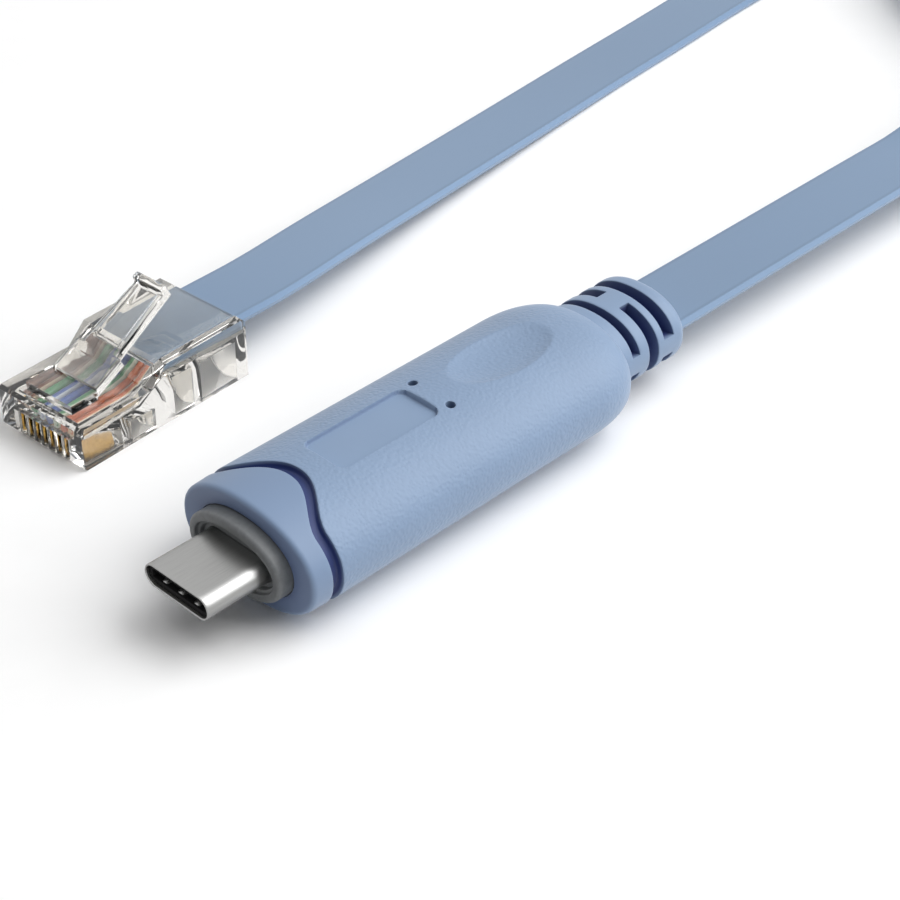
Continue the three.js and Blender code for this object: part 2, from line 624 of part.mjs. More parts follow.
for (let k = 0; k < CONTACTS; k += 1) {
  const v = contactV(k);
  const blade = block([CONTACT_FRONT, v - CONTACT_THICK / 2, CONTACT_BOTTOM],
    [CONTACT_FRONT + CONTACT_LENGTH, v + CONTACT_THICK / 2, CONTACT_TOP]);
  add(`contact_blade_${k + 1}`, blade, GOLD, plugPlace);

  const line = new THREE.CatmullRomCurve3([
    [CORE_FRONT, v, CORE_LEVEL], [CORE_RISE_START - 2, v, CORE_LEVEL], [CORE_RISE_START, v, CORE_LEVEL],
    [(CORE_RISE_START + JACKET_START) / 2, v, (CORE_LEVEL + JACKET_LEVEL) / 2],
    [JACKET_START - CORD_GAP, v, JACKET_LEVEL],
  ].map((p) => new THREE.Vector3(...p)), false, 'centripetal');
  const section = new THREE.Shape().absarc(0, 0, CORE_BORE / 2, 0, 2 * Math.PI);
  const core = new THREE.ExtrudeGeometry(section,
    { steps: 8, extrudePath: line, bevelEnabled: false, curveSegments: 4 });
  add(`core_${k + 1}`, core, finish(CORE_COLOURS[k], 0.45), plugPlace);
}

// Latch: a plate with shoulders, then a narrower handle with a channel between two rails and a lip
function latchGeometry() {
  const [p, r, e] = [LATCH_PLATE_WIDTH / 2, LATCH_HANDLE_ROOT / 2, LATCH_HANDLE_END / 2];
  const outline = [[0, -p], [LATCH_PLATE_LENGTH, -p], [LATCH_PLATE_LENGTH, -r], [LATCH_LENGTH, -e],
    [LATCH_LENGTH, e], [LATCH_PLATE_LENGTH, r], [LATCH_PLATE_LENGTH, p], [0, p]];
  const shape = new THREE.Shape(outline.map((corner) => new THREE.Vector2(...corner)));
  const plate = new THREE.ExtrudeGeometry(shape, { depth: LATCH_THICK, bevelEnabled: false });
  const lip = block([LATCH_LENGTH - LATCH_LIP, -e, LATCH_THICK / 2],
    [LATCH_LENGTH, e, LATCH_THICK + LATCH_LIP]);
  const channel = block([LATCH_PLATE_LENGTH + 1, -e + LATCH_RAIL, LATCH_THICK - LATCH_CHANNEL_DEPTH],
    [LATCH_LENGTH - LATCH_LIP, e - LATCH_RAIL, LATCH_THICK + 1]);
  return toGeometry(toSolid(plate).add(toSolid(lip)).subtract(toSolid(channel)));
}

// Raised to its slope at rest, and cut upright at its root where it faces the root block
function latchAtRest() {
  const raised = latchGeometry().rotateY(-LATCH_SLOPE * DEGREE).translate(HINGE_U, 0, NOSE_TOP + HINGE_LIFT);
  return cut(raised, [block([0, -PLUG_WIDTH, 0], [HINGE_U, PLUG_WIDTH, 2 * PLUG_HEIGHT])]);
}
add('modular_plug_latch', latchAtRest(), CLEAR, plugPlace);

export default group;
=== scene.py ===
"""Dresses the console cable: its moulded USB-C housing, its flat lead with a tied coil and its clear
modular plug. Lengths are millimetres in the code and metres in the meshes, in the frame's own axes."""

import math

import bpy
import numpy as np
from bpy.props import FloatProperty, FloatVectorProperty, PointerProperty
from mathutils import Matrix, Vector


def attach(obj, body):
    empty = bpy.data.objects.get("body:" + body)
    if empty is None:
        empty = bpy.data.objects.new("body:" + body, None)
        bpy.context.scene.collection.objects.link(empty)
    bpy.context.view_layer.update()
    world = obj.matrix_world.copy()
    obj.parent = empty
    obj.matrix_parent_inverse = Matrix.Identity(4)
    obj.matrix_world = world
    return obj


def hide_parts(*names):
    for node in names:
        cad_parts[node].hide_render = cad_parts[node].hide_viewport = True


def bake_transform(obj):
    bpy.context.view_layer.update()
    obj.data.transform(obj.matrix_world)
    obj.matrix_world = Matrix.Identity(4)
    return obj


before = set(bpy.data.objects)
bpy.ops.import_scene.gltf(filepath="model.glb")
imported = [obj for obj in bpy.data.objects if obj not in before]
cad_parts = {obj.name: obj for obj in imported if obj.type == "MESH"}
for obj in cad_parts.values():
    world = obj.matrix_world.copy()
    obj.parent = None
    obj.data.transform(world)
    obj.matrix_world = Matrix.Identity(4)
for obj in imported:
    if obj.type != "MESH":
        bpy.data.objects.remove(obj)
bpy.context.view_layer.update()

bl_info = {
    "name": "Console cable",
    "version": (1, 0, 0),
    "blender": (4, 5, 0),
    "location": "View3D > Sidebar > Console cable",
    "description": "Flat console cable with a USB-C housing and a clear modular plug",
    "category": "Object",
}

MM = 0.001

# Places along the housing, from the tip of its USB-C plug, and the height of its axis
HALF_LENGTH = 29.975
AXIS_Z = 5.35
NOSE = 7.85
BODY_LENGTH = 36.4
SHOULDER_LENGTH = 6.3
RELIEF_LENGTH = 9.4
END = NOSE + BODY_LENGTH + SHOULDER_LENGTH + RELIEF_LENGTH
BODY_HALF = (8.6, 5.35)
RELIEF_HALF = (5.55, 3.975)
OVAL_POWER = 2.15
SHOULDER_POWER = 2.1
SHELL_SIZE = (8.25, 2.4)
COLLAR_FRONT = 6.3
COLLAR_BACK = 9.2
COLLAR_ROUND = 0.38
COLLAR_HALF = (5.9, 3.6)

# Details of the housing, from its nose
GROOVE_PLACE = 2.75
GROOVE_WAVE = 3.05
SLOTS = [(1.45, 1.05), (3.8, 1.35), (6.05, 1.4)]  # start from the strain relief's root, and length
RECESS_START = 8.95
RECESS_SIZE = (12.1, 5.2)
RECESS_CORNER = 0.9
RECESS_DEPTH = 0.55
LAMP_HOLE = (22.4, 2.4)
LAMP_RADIUS = 0.455
DIP_CENTRE = 31.4
DIP_HALF = (6.2, 3.7)
DIP_ROUND = 1.65
DIP_DEPTH = 0.75

# Flat lead
LEAD_WIDTH = 8.4
LEAD_THICK = 1.2
STAND_Z = 4.3
COIL_CENTRE = (153.8, 0.8)
COIL_INNER = 28.0
COIL_OUTER = 47.3
COIL_FOLD_ANGLE = 172.4
TURN_STEP = 5.9
BEND_CENTRE = (87.7, 24.86)
TIE_ANGLE = 215.0

# Modular plug: u runs from its front to its rear, v across, w up
PLUG_FRONT = (-21.2, 30.5)
PLUG_HEADING = math.radians(3.5)
CONTACT_PITCH = 1.02
LATCH_ROOT = (4.57, 4.72)
LATCH_SLOPE = math.radians(27)


def to_linear(hex_colour):
    """A linear colour with alpha from an sRGB hex value."""
    srgb = np.array([(hex_colour >> shift) & 255 for shift in (16, 8, 0)]) / 255
    linear = np.where(srgb <= 0.04045, srgb / 12.92, ((srgb + 0.055) / 1.055) ** 2.4)
    return (*[float(c) for c in linear], 1.0)


# Meshes


def grid_part(points, wrap_rows=False, wrap_columns=True, caps=(False, False), finish=0):
    """Vertices, quads, triangles and finish number of a surface through a grid of points, rows by
    columns: each four neighbours make a face, and a cap is a fan from the middle of an end row."""
    rows, columns = points.shape[:2]
    index = np.arange(rows * columns).reshape(rows, columns)
    if wrap_rows:
        index = np.vstack([index, index[:1]])
    if wrap_columns:
        index = np.hstack([index, index[:, :1]])
    quads = np.stack([index[:-1, :-1], index[1:, :-1], index[1:, 1:], index[:-1, 1:]], -1).reshape(-1, 4)
    vertices = points.reshape(-1, 3)
    fans = []
    for cap, row in zip(caps, (0, -1)):
        if cap:
            middle = np.full(columns, len(vertices))
            vertices = np.vstack([vertices, points[row].mean(0)])
            edge = index[row]
            around = (edge[1:], edge[:-1]) if row else (edge[:-1], edge[1:])
            fans.append(np.stack([middle[: len(around[0])], *around], -1))
    triangles = np.vstack(fans) if fans else np.zeros((0, 3), int)
    return vertices, quads, triangles, finish


def signed_volume(vertices, quads, triangles):
    """Six times the volume inside a closed surface, negative where its faces point inwards: the sum
    over the triangles of the first corner dotted with the cross product of the other two."""
    split = np.vstack([triangles, quads[:, [0, 1, 2]], quads[:, [0, 2, 3]]])
    a, b, c = (vertices[split[:, k]] for k in range(3))
    return float(np.einsum("ij,ij->", a, np.cross(b, c)))


def put(name, parts, materials, body, sharp=40.0, values=None, uv=None, closed=True):
    """One piece from its parts, in metres, with outward faces, its materials and its CAD body.
    values are numbers per vertex by attribute name, and uv is a pair per vertex."""
    vertices, polygons, finishes, base = [], [], [], 0
    for v, quads, triangles, finish in parts:
        if closed and signed_volume(v, quads, triangles) < 0:
            quads, triangles = quads[:, ::-1], triangles[:, ::-1]
        vertices.append(v)
        for faces in (quads, triangles):
            polygons.append(faces + base)
            finishes.append(np.full(len(faces), finish))
        base += len(v)
    vertices = np.vstack(vertices) * MM
    totals = np.concatenate([np.full(len(p), p.shape[1]) for p in polygons])
    corners = np.concatenate([p.reshape(-1) for p in polygons])
    mesh = bpy.data.meshes.new(name)
    mesh.vertices.add(len(vertices))
    mesh.vertices.foreach_set("co", vertices.astype(np.float32).reshape(-1))
    mesh.loops.add(len(corners))
    mesh.loops.foreach_set("vertex_index", corners.astype(np.int32))
    mesh.polygons.add(len(totals))
    mesh.polygons.foreach_set("loop_start", (np.cumsum(totals) - totals).astype(np.int32))
    mesh.polygons.foreach_set("loop_total", totals.astype(np.int32))
    mesh.polygons.foreach_set("material_index", np.concatenate(finishes).astype(np.int32))
    mesh.update(calc_edges=True)
    if mesh.validate():
        raise RuntimeError(f"{name} has faces that are not valid")
    for material in materials:
        mesh.materials.append(material)
    for key, numbers in (values or {}).items():
        attribute = mesh.attributes.new(key, "FLOAT", "POINT")
        attribute.data.foreach_set("value", np.asarray(numbers, np.float32).reshape(-1))
    if uv is not None:
        layer = mesh.uv_layers.new(name="UVMap")
        layer.data.foreach_set("uv", uv[corners].astype(np.float32).reshape(-1))
    mesh.shade_smooth()
    mesh.set_sharp_from_angle(angle=math.radians(sharp))
    piece = bpy.data.objects.new(name, mesh)
    bpy.context.scene.collection.objects.link(piece)
    if body:
        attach(piece, body)
    return piece


def oval_ring(angles, wide, tall, power=OVAL_POWER):
    """Points of a superellipse: each half size times the cosine or sine to the power 2 / power."""
    c, s = np.cos(angles), np.sin(angles)
    return np.stack([wide * np.sign(c) * np.abs(c) ** (2 / power),
                     tall * np.sign(s) * np.abs(s) ** (2 / power)], -1)


def rounded_ring(width, height, radius, count):
    """Points evenly spaced round a rectangle with round corners, from the middle of its +Y side."""
    sx, sy = width / 2 - radius, height / 2 - radius
    arc = np.linspace(0, math.pi / 2, 9)
    corners = [(sx, sy, 0), (-sx, sy, 1), (-sx, -sy, 2), (sx, -sy, 3)]
    path = [np.stack([x + radius * np.cos(arc + k * math.pi / 2),
                      y + radius * np.sin(arc + k * math.pi / 2)], -1) for x, y, k in corners]
    path = np.vstack([[(width / 2, 0)], *path, [(width / 2, 0)]])
    along = np.concatenate([[0], np.cumsum(np.linalg.norm(np.diff(path, axis=0), axis=1))])
    places = np.arange(count) * along[-1] / count
    return np.stack([np.interp(places, along, path[:, k]) for k in range(2)], -1)


def rings_along_x(rows):
    """A grid of points from places along X, each with its ring drawn across in Y and Z."""
    return np.stack([np.column_stack([np.full(len(ring), float(x)), ring]) for x, ring in rows])


def in_housing(points):
    """Millimetres from the plug's tip and its axis to millimetres in the frame."""
    return points + np.array([-HALF_LENGTH, 0, AXIS_Z])


def in_plug(points):
    """The modular plug's u, v and w to millimetres in the frame: turned by its heading, then moved."""
    c, s = math.cos(PLUG_HEADING), math.sin(PLUG_HEADING)
    u, v, w = points[..., 0], points[..., 1], points[..., 2]
    return np.stack([PLUG_FRONT[0] + u * c - v * s, PLUG_FRONT[1] + u * s + v * c, w], -1)


def swept(path, across, ring):
    """A grid of points: a ring carried along a path, its first axis on the across vectors and its
    second on the cross product of the path's direction and them."""
    direction = np.gradient(path, axis=0)
    direction /= np.linalg.norm(direction, axis=1, keepdims=True)
    side = across - np.einsum("ij,ij->i", across, direction)[:, None] * direction
    side /= np.linalg.norm(side, axis=1, keepdims=True)
    other = np.cross(direction, side)
    return path[:, None] + ring[None, :, :1] * side[:, None] + ring[None, :, 1:] * other[:, None]


def smooth(t):
    """0 to 1 with level ends: three t squared less two t cubed."""
    t = np.clip(t, 0, 1)
    return t * t * (3 - 2 * t)


def line_through(points, steps):
    """A line through points: between two of them a cubic whose end slopes come from the spacing to
    the power of a half, with `steps` places in each gap."""
    p = np.asarray(points, float)
    p = np.vstack([2 * p[0] - p[1], p, 2 * p[-1] - p[-2]])
    gaps = np.sqrt(np.linalg.norm(np.diff(p, axis=0), axis=1))[:, None]
    d0, d1, d2 = gaps[:-2], gaps[1:-1], gaps[2:]
    a, b, c, d = p[:-3], p[1:-2], p[2:-1], p[3:]
    start = ((b - a) / d0 - (c - a) / (d0 + d1) + (c - b) / d1) * d1
    stop = ((c - b) / d1 - (d - b) / (d1 + d2) + (d - c) / d2) * d1
    t = (np.arange(steps) / steps)[None, :, None]
    b, c, start, stop = (x[:, None] for x in (b, c, start, stop))
    line = b + start * t + (3 * (c - b) - 2 * start - stop) * t**2 + (2 * (b - c) + start + stop) * t**3
    return np.vstack([line.reshape(-1, 3), p[-2]])


def evenly(path, across, step):
    """The same path and across vectors at even steps of length."""
    along = np.concatenate([[0], np.cumsum(np.linalg.norm(np.diff(path, axis=0), axis=1))])
    places = np.linspace(0, along[-1], int(round(along[-1] / step)) + 1)
    pick = lambda values: np.stack([np.interp(places, along, values[:, k]) for k in range(3)], -1)
    return pick(path), pick(across), places


# Materials


def add_node(tree, kind, settings=None, links=None, output=0):
    """Adds a node with its settings, on its sockets, its colour ramp's stops or itself, and with its
    incoming links. Returns one of its outputs."""
    node = tree.nodes.new(kind)
    for key, value in (settings or {}).items():
        if key == "stops":
            elements = node.color_ramp.elements
            while len(elements) < len(value):
                elements.new(1.0)
            for element, (place, colour) in zip(elements, value):
                element.position, element.color = place, colour
        elif isinstance(key, int) or key in node.inputs:
            node.inputs[key].default_value = value
        else:
            setattr(node, key, value)
    for key, source in (links or {}).items():
        tree.links.new(source, node.inputs[key])
    return node.outputs[output]


def new_material(name, **surface):
    """A material with a Principled surface; returns it, its node tree and its surface node."""
    material = bpy.data.materials.new(name)
    material.use_nodes = True
    tree = material.node_tree
    shader = tree.nodes["Principled BSDF"]
    for key, value in surface.items():
        shader.inputs[key.replace("_", " ")].default_value = value
    return material, tree, shader


def shaded(colour, share=1.0):
    """A linear colour with alpha, each of its channels times a share and at most 1."""
    return (*[min(1.0, share * c) for c in colour[:3]], 1.0)


def dress(tree, shader, pattern, stops, relief=None, height=None, mix=None):
    """Colours a surface by (place, colour) stops over a pattern, mixed with what `mix` sets and links,
    and raises it by a height, or else the pattern, times relief: millimetres and a strength."""
    colour = add_node(tree, "ShaderNodeValToRGB", {"stops": stops}, {"Fac": pattern})
    if mix:
        settings, links = mix
        colour = add_node(tree, "ShaderNodeMix", {"data_type": "RGBA", **settings}, {6: colour, **links},
                          output=2)
    tree.links.new(colour, shader.inputs["Base Color"])
    if relief:
        bump = add_node(tree, "ShaderNodeBump", {"Distance": relief[0] * MM, "Strength": relief[1]},
                        {"Height": height or pattern})
        tree.links.new(bump, shader.inputs["Normal"])


def moulded_pvc(settings):
    """Flexible PVC moulded in a tool with a pebbled finish: soft sheen, fine round grain behind the
    nose cap, and painted shade in deep blue on the groove's and slots' walls, in the lamp holes, along the
    label recess's wall and on the nose."""
    material, tree, shader = new_material("Moulded PVC", Roughness=0.5, IOR=1.53, Specular_IOR_Level=0.42,
                                          Sheen_Weight=0.22, Sheen_Roughness=0.45)
    place = add_node(tree, "ShaderNodeTexCoord", output="Object")
    grained, depth = (add_node(tree, "ShaderNodeAttribute", {"attribute_name": name}, output="Fac")
                      for name in ("pebble", "depth"))
    # Pebbles 0.33 mm apart, coarser than the tool's 0.15 mm so that they show
    pebbles = add_node(tree, "ShaderNodeTexVoronoi",
                       {"Scale": 1 / settings.pebble_size, "feature": "SMOOTH_F1"},
                       {"Vector": place})
    # Slow changes of shade about 11 mm across
    cloud = add_node(tree, "ShaderNodeTexNoise", {"Scale": 90.0, "Detail": 3.0}, {"Vector": place})
    height = add_node(tree, "ShaderNodeMath", {"operation": "MULTIPLY"}, {0: pebbles, 1: grained})
    plain = settings.plastic_colour
    # Painted shade: the depth attribute is each point's share of painted shade and mixes in the groove shade
    # colour
    dress(tree, shader, cloud, [(0.3, shaded(plain, 0.93)), (0.7, shaded(plain))], (0.1, 0.5), height,
          ({7: shaded(settings.groove_shade_colour)}, {0: depth}))
    return material


def extruded_pvc(settings):
    """Lead jacket of extruded PVC: smoother than the housing, with faint draw lines along it, a painted
    highlight on its rounded edges and a painted shade line beside each.
    """
    material, tree, shader = new_material("Extruded PVC", Roughness=0.36, IOR=1.53, Specular_IOR_Level=0.5)
    flat = add_node(tree, "ShaderNodeUVMap", {"uv_map": "UVMap"})
    # Draw lines 0.3 mm apart round the section, and slow changes of shade over 60 mm of lead
    lines = add_node(tree, "ShaderNodeMapping", {"Scale": (64.0, 3.0, 1.0)}, {"Vector": flat})
    draw = add_node(tree, "ShaderNodeTexNoise", {"Scale": 1.0, "Detail": 2.0}, {"Vector": lines})
    slow = add_node(tree, "ShaderNodeMapping", {"Scale": (1.0, 16.0, 1.0)}, {"Vector": flat})
    shade = add_node(tree, "ShaderNodeTexNoise", {"Scale": 1.0, "Detail": 1.0}, {"Vector": slow})
    # Painted highlight: the rounded edges are paler, each behind a painted shade line where the flat meets
    # the round
    round_lead = add_node(tree, "ShaderNodeSeparateXYZ", links={"Vector": flat})
    edges = [(0.0, 1.0), (0.032, 1.0), (0.044, 0.66), (0.06, 0.8), (0.44, 0.8), (0.456, 0.66), (0.468, 1.0),
             (0.5, 1.0)]
    stops = [(u, (level, level, level, 1.0)) for u, level in edges]
    edge = add_node(tree, "ShaderNodeValToRGB", {"stops": stops}, {"Fac": round_lead})
    plain = settings.jacket_colour
    dress(tree, shader, shade, [(0.35, shaded(plain, 0.94)), (0.65, shaded(plain))], (0.01, 0.35), draw,
          ({"blend_type": "MULTIPLY", 0: 1.0}, {7: edge}))
    return material


def drawn_steel():
    """Nickel-plated steel, deep drawn: bright, with fine lines along the draw and soft blur across."""
    material, tree, shader = new_material("Nickel-plated steel", Metallic=1.0, Roughness=0.34)
    place = add_node(tree, "ShaderNodeTexCoord", output="Object")
    # Draw lines 0.08 mm apart, long along X
    lines = add_node(tree, "ShaderNodeMapping", {"Scale": (400.0, 12500.0, 12500.0)}, {"Vector": place})
    draw = add_node(tree, "ShaderNodeTexNoise", {"Scale": 1.0, "Detail": 2.0}, {"Vector": lines})
    dress(tree, shader, draw, [(0.2, to_linear(0x969695)), (0.8, to_linear(0xA3A3A2))], (0.004, 0.3))
    return material


def moulded_resin(name, dark, light, roughness, grain, gloss=0.45):
    """Glass-filled resin as moulded: even colour with a faint mottle, grain given in millimetres."""
    material, tree, shader = new_material(name, Roughness=roughness, IOR=1.55, Specular_IOR_Level=gloss)
    place = add_node(tree, "ShaderNodeTexCoord", output="Object")
    mottle = add_node(tree, "ShaderNodeTexNoise", {"Scale": 1 / (grain * MM), "Detail": 3.0},
                      {"Vector": place})
    dress(tree, shader, mottle, [(0.3, to_linear(dark)), (0.7, to_linear(light))], (0.01, 0.4))
    return material


def gold_plate():
    """Phosphor bronze with a gold flash: warm metal, slightly blurred by its stamped surface."""
    material, tree, shader = new_material("Gold plate", Metallic=1.0, Roughness=0.26)
    place = add_node(tree, "ShaderNodeTexCoord", output="Object")
    # Stamping marks 0.1 mm apart
    marks = add_node(tree, "ShaderNodeTexNoise", {"Scale": 10000.0, "Detail": 1.0}, {"Vector": place})
    dress(tree, shader, marks, [(0.3, to_linear(0xB98A3A)), (0.7, to_linear(0xE2BE6C))], (0.004, 0.3))
    return material


def clear_polycarbonate(settings):
    """Clear moulded polycarbonate: high index, a faint smoke tint, and flow marks that bend what
    shows through it."""
    material, tree, shader = new_material("Clear polycarbonate", Roughness=0.025, IOR=1.585,
                                          Transmission_Weight=1.0)
    place = add_node(tree, "ShaderNodeTexCoord", output="Object")
    # Flow marks about 1.5 mm across
    flow = add_node(tree, "ShaderNodeTexNoise", {"Scale": 650.0, "Detail": 2.0}, {"Vector": place})
    tint = settings.clear_colour
    dress(tree, shader, flow, [(0.3, shaded(tint)), (0.7, shaded(tint, 1.04))], (0.02, 0.2))
    return material


def core_insulation(name, colour, stripe=None):
    """Extruded core insulation, plain, or pale with a coloured stripe along it. The stripe's UV is
    the way round the core from 0 to 1."""
    material, tree, shader = new_material(name, Roughness=0.35, IOR=1.5)
    flat = add_node(tree, "ShaderNodeUVMap", {"uv_map": "UVMap"})
    stretch = add_node(tree, "ShaderNodeMapping", {"Scale": (6.0, 3.0, 1.0)}, {"Vector": flat})
    wobble = add_node(tree, "ShaderNodeTexNoise", {"Scale": 1.0, "Detail": 2.0}, {"Vector": stretch})
    mix = None
    if stripe is not None:
        # The stripe is 0.18 of the way round, on the core's upper side
        round_core = add_node(tree, "ShaderNodeSeparateXYZ", links={"Vector": flat})
        off = add_node(tree, "ShaderNodeMath", {"operation": "SUBTRACT", 1: 0.25}, {0: round_core})
        size = add_node(tree, "ShaderNodeMath", {"operation": "ABSOLUTE"}, {0: off})
        inside = add_node(tree, "ShaderNodeMath", {"operation": "LESS_THAN", 1: 0.09}, {0: size})
        mix = ({7: to_linear(stripe)}, {0: inside})
    plain = to_linear(colour)
    dress(tree, shader, wobble, [(0.3, shaded(plain, 0.85)), (0.7, plain)], mix=mix)
    return material


# Settings


def colour_setting(name, description, hex_colour):
    """A colour, given as an sRGB hex value."""
    return FloatVectorProperty(name=name, description=description, subtype="COLOR", size=3, min=0, max=1,
                               default=to_linear(hex_colour)[:3])


def length_setting(name, description, default, low, high):
    """A length, given in millimetres with its limits."""
    return FloatProperty(name=name, description=description, default=default * MM, min=low * MM,
                         max=high * MM, unit="LENGTH", precision=5)


class CABLE_PG_housing(bpy.types.PropertyGroup):
    plastic_colour: colour_setting("Plastic colour", "Colour of the moulded PVC", 0x7E94B1)
    # Painted shade colour for the groove, slots, lamp holes, label recess wall and nose face
    groove_shade_colour: colour_setting("Groove colour", "Colour of the PVC deep in the groove and slots", 0x22356E)
    pebble_size: length_setting("Pebble size", "Spacing of the pebbled grain", 0.33, 0.1, 2)
    groove_depth: length_setting("Groove depth", "Depth of the wave groove", 0.75, 0.1, 1.2)
    slot_depth: length_setting("Slot depth", "Depth of the strain relief's slots", 1.5, 0.3, 2)


class CABLE_PG_lead(bpy.types.PropertyGroup):
    jacket_colour: colour_setting("Jacket colour", "Colour of the lead's PVC jacket", 0x7F99B8)
    step: length_setting("Step", "Distance between the lead's rings", 2, 1, 6)


class CABLE_PG_plug(bpy.types.PropertyGroup):
    clear_colour: colour_setting("Clear colour", "Tint of the clear plastic", 0xF4F2EE)
    edge_radius: length_setting("Edge radius", "Radius of the plug's moulded edges", 0.09, 0.02, 0.2)


class CABLE_PG_stage(bpy.types.PropertyGroup):
    floor_colour: colour_setting("Floor colour", "Colour of the plain floor", 0xFBFBFB)
    key_power: FloatProperty(
        name="Key light", description="Power of the large soft light", default=8.2, min=0, max=200,
        unit="POWER")
    sky: FloatProperty(
        name="Sky", description="Strength of the even light from all round", default=0.16, min=0, max=4)
    surround: FloatProperty(
        name="Surround", description="Brightness of the surroundings in gloss and clear plastic", default=1.0,
        min=0, max=4)


# Flat lead

HOUSING_STRETCH = [
    (29.5, 0, 5.35), (42, 0, 5.35), (55, 0, 5.35), (66, 0, 5.35), (74, 0, 5.32), (81, 0, 5.18),
]
HOUSING_BEND = [(0, 4.9), (15, 4.62), (30, 4.38), (45, 4.3), (58, 4.3)]  # degrees round the bend, height
PLUG_STRETCH = [
    (8, 32.6, 4.75), (19, 35, 3.8), (33, 38, 2.4), (52, 41.3, 1.2), (73, 44.2, 0.65), (87, 45.6, 0.65),
    (98.5, 46.9, 0.65), (106, 47.5, 0.65), (112, 47.8, 1.12), (118, 47.95, 2.23), (124, 48.05, 3.4),
    (130, 48.1, 4.11), (136, 48.1, 4.29), (141, 48.1, 4.3), (148, 48.1, 4.3),
]


def turned_up(path, start, stop):
    """Across vectors that lie level and turn up on edge between two places along X: the level
    vector times the cosine of the turn and the upward one times its sine."""
    direction = np.gradient(path, axis=0)
    direction /= np.linalg.norm(direction, axis=1, keepdims=True)
    level = np.cross([0, 0, 1], direction)
    level /= np.linalg.norm(level, axis=1, keepdims=True)
    turn = (math.pi / 2) * smooth((path[:, 0] - start) / (stop - start))[:, None]
    return level * np.cos(turn) + np.cross(direction, level) * np.sin(turn)


def spiral(start_angle, turn):
    """A strand of the coil: its radius grows evenly with the angle turned, and it rides up over the
    tie. Angles are degrees from the innermost turn."""
    angle = np.radians(start_angle + turn)
    radius = COIL_INNER + TURN_STEP * turn / 360
    off = np.abs((start_angle + turn - TIE_ANGLE + 180) % 360 - 180) * np.radians(1) * radius
    lift = 0.62 * smooth((20 - off) / 16)
    return np.stack([COIL_CENTRE[0] + radius * np.cos(angle), COIL_CENTRE[1] + radius * np.sin(angle),
                     STAND_Z + lift], -1)


def fold():
    """The middle of the lead: two half circles that cross the coil's empty centre."""
    half = COIL_INNER / 2
    t = np.radians(np.arange(6, 180, 6))
    local = np.stack([half + half * np.cos(t), -half * np.sin(t)], -1)
    local = np.vstack([local, [(0, 0)], -local[::-1]])
    c, s = math.cos(math.radians(COIL_FOLD_ANGLE)), math.sin(math.radians(COIL_FOLD_ANGLE))
    return np.stack([COIL_CENTRE[0] + local[:, 0] * c - local[:, 1] * s,
                     COIL_CENTRE[1] + local[:, 0] * s + local[:, 1] * c, np.full(len(local), STAND_Z)], -1)


def lead_route(step):
    """The whole lead from the strain relief through both strands of the coil to the modular plug."""
    bend = [(BEND_CENTRE[0] + BEND_CENTRE[1] * math.sin(math.radians(turned)),
             BEND_CENTRE[1] * (1 - math.cos(math.radians(turned))), z) for turned, z in HOUSING_BEND]
    first = line_through(HOUSING_STRETCH + bend, 8)
    plug_part = in_plug(np.array([(11.2, 0, 5.2), (16, 0, 5.2), (21.46, 0, 5.2)]))
    last = line_through(np.vstack([plug_part, PLUG_STRETCH]), 8)
    plug_turn = (COIL_OUTER - COIL_INNER) * 360 / TURN_STEP
    inward = spiral(COIL_FOLD_ANGLE, np.arange(plug_turn - 110, 0, -4))
    outward = spiral(COIL_FOLD_ANGLE + 180, np.arange(0, plug_turn, 4))
    middle = np.vstack([inward, fold(), outward])
    upright = np.tile([0.0, 0.0, 1.0], (len(middle), 1))
    path = np.vstack([first, middle, last[::-1]])
    across = np.vstack([turned_up(first, 74, 102), upright, turned_up(last, 106, 138)[::-1]])
    path, across, places = evenly(path, across, step)
    for _ in range(4):
        path[1:-1] = (path[:-2] + 2 * path[1:-1] + path[2:]) / 4
    return path, across, places


class CABLE_OT_camera(bpy.types.Operator):
    """Puts the camera at the photograph's viewing angle"""

    bl_idname = "console_cable.camera"
    bl_label = "Camera"

    def execute(self, context):
        data = bpy.data.cameras.new("Camera")
        data.lens, data.sensor_width = 89.865, 36.0
        data.clip_start, data.clip_end = 0.01, 10.0
        camera = bpy.data.objects.new("Camera", data)
        camera.location = (-0.116568, -0.117270, 0.125890)
        camera.rotation_euler = (math.radians(53.686), 0, math.radians(-45.474))
        context.scene.collection.objects.link(camera)
        context.scene.camera = camera
        return {"FINISHED"}


class CABLE_OT_lead(bpy.types.Operator):
    """Makes the flat lead, one tube from the housing through the coil to the modular plug"""

    bl_idname = "console_cable.lead"
    bl_label = "Flat lead"

    def execute(self, context):
        settings = context.scene.cable_lead
        path, across, places = lead_route(settings.step / MM)
        ring = rounded_ring(LEAD_WIDTH, LEAD_THICK, 0.42, 28)
        points = swept(path, across, ring)
        way_round = 0.5 - np.abs(np.arange(28) / 28 - 0.5)
        uv = np.stack(np.broadcast_arrays(way_round[None], places[:, None] * MM), -1).reshape(-1, 2)
        uv = np.vstack([uv, [(0.25, 0), (0.25, places[-1] * MM)]])
        part = grid_part(points, caps=(True, True))
        lead = put("flat_lead", [part], [extruded_pvc(settings)], "lead", uv=uv)
        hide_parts("lead_housing_stretch", "lead_plug_stretch", "lead_coil", "lead_coil_fold")
        return {"FINISHED"}


# Coil tie


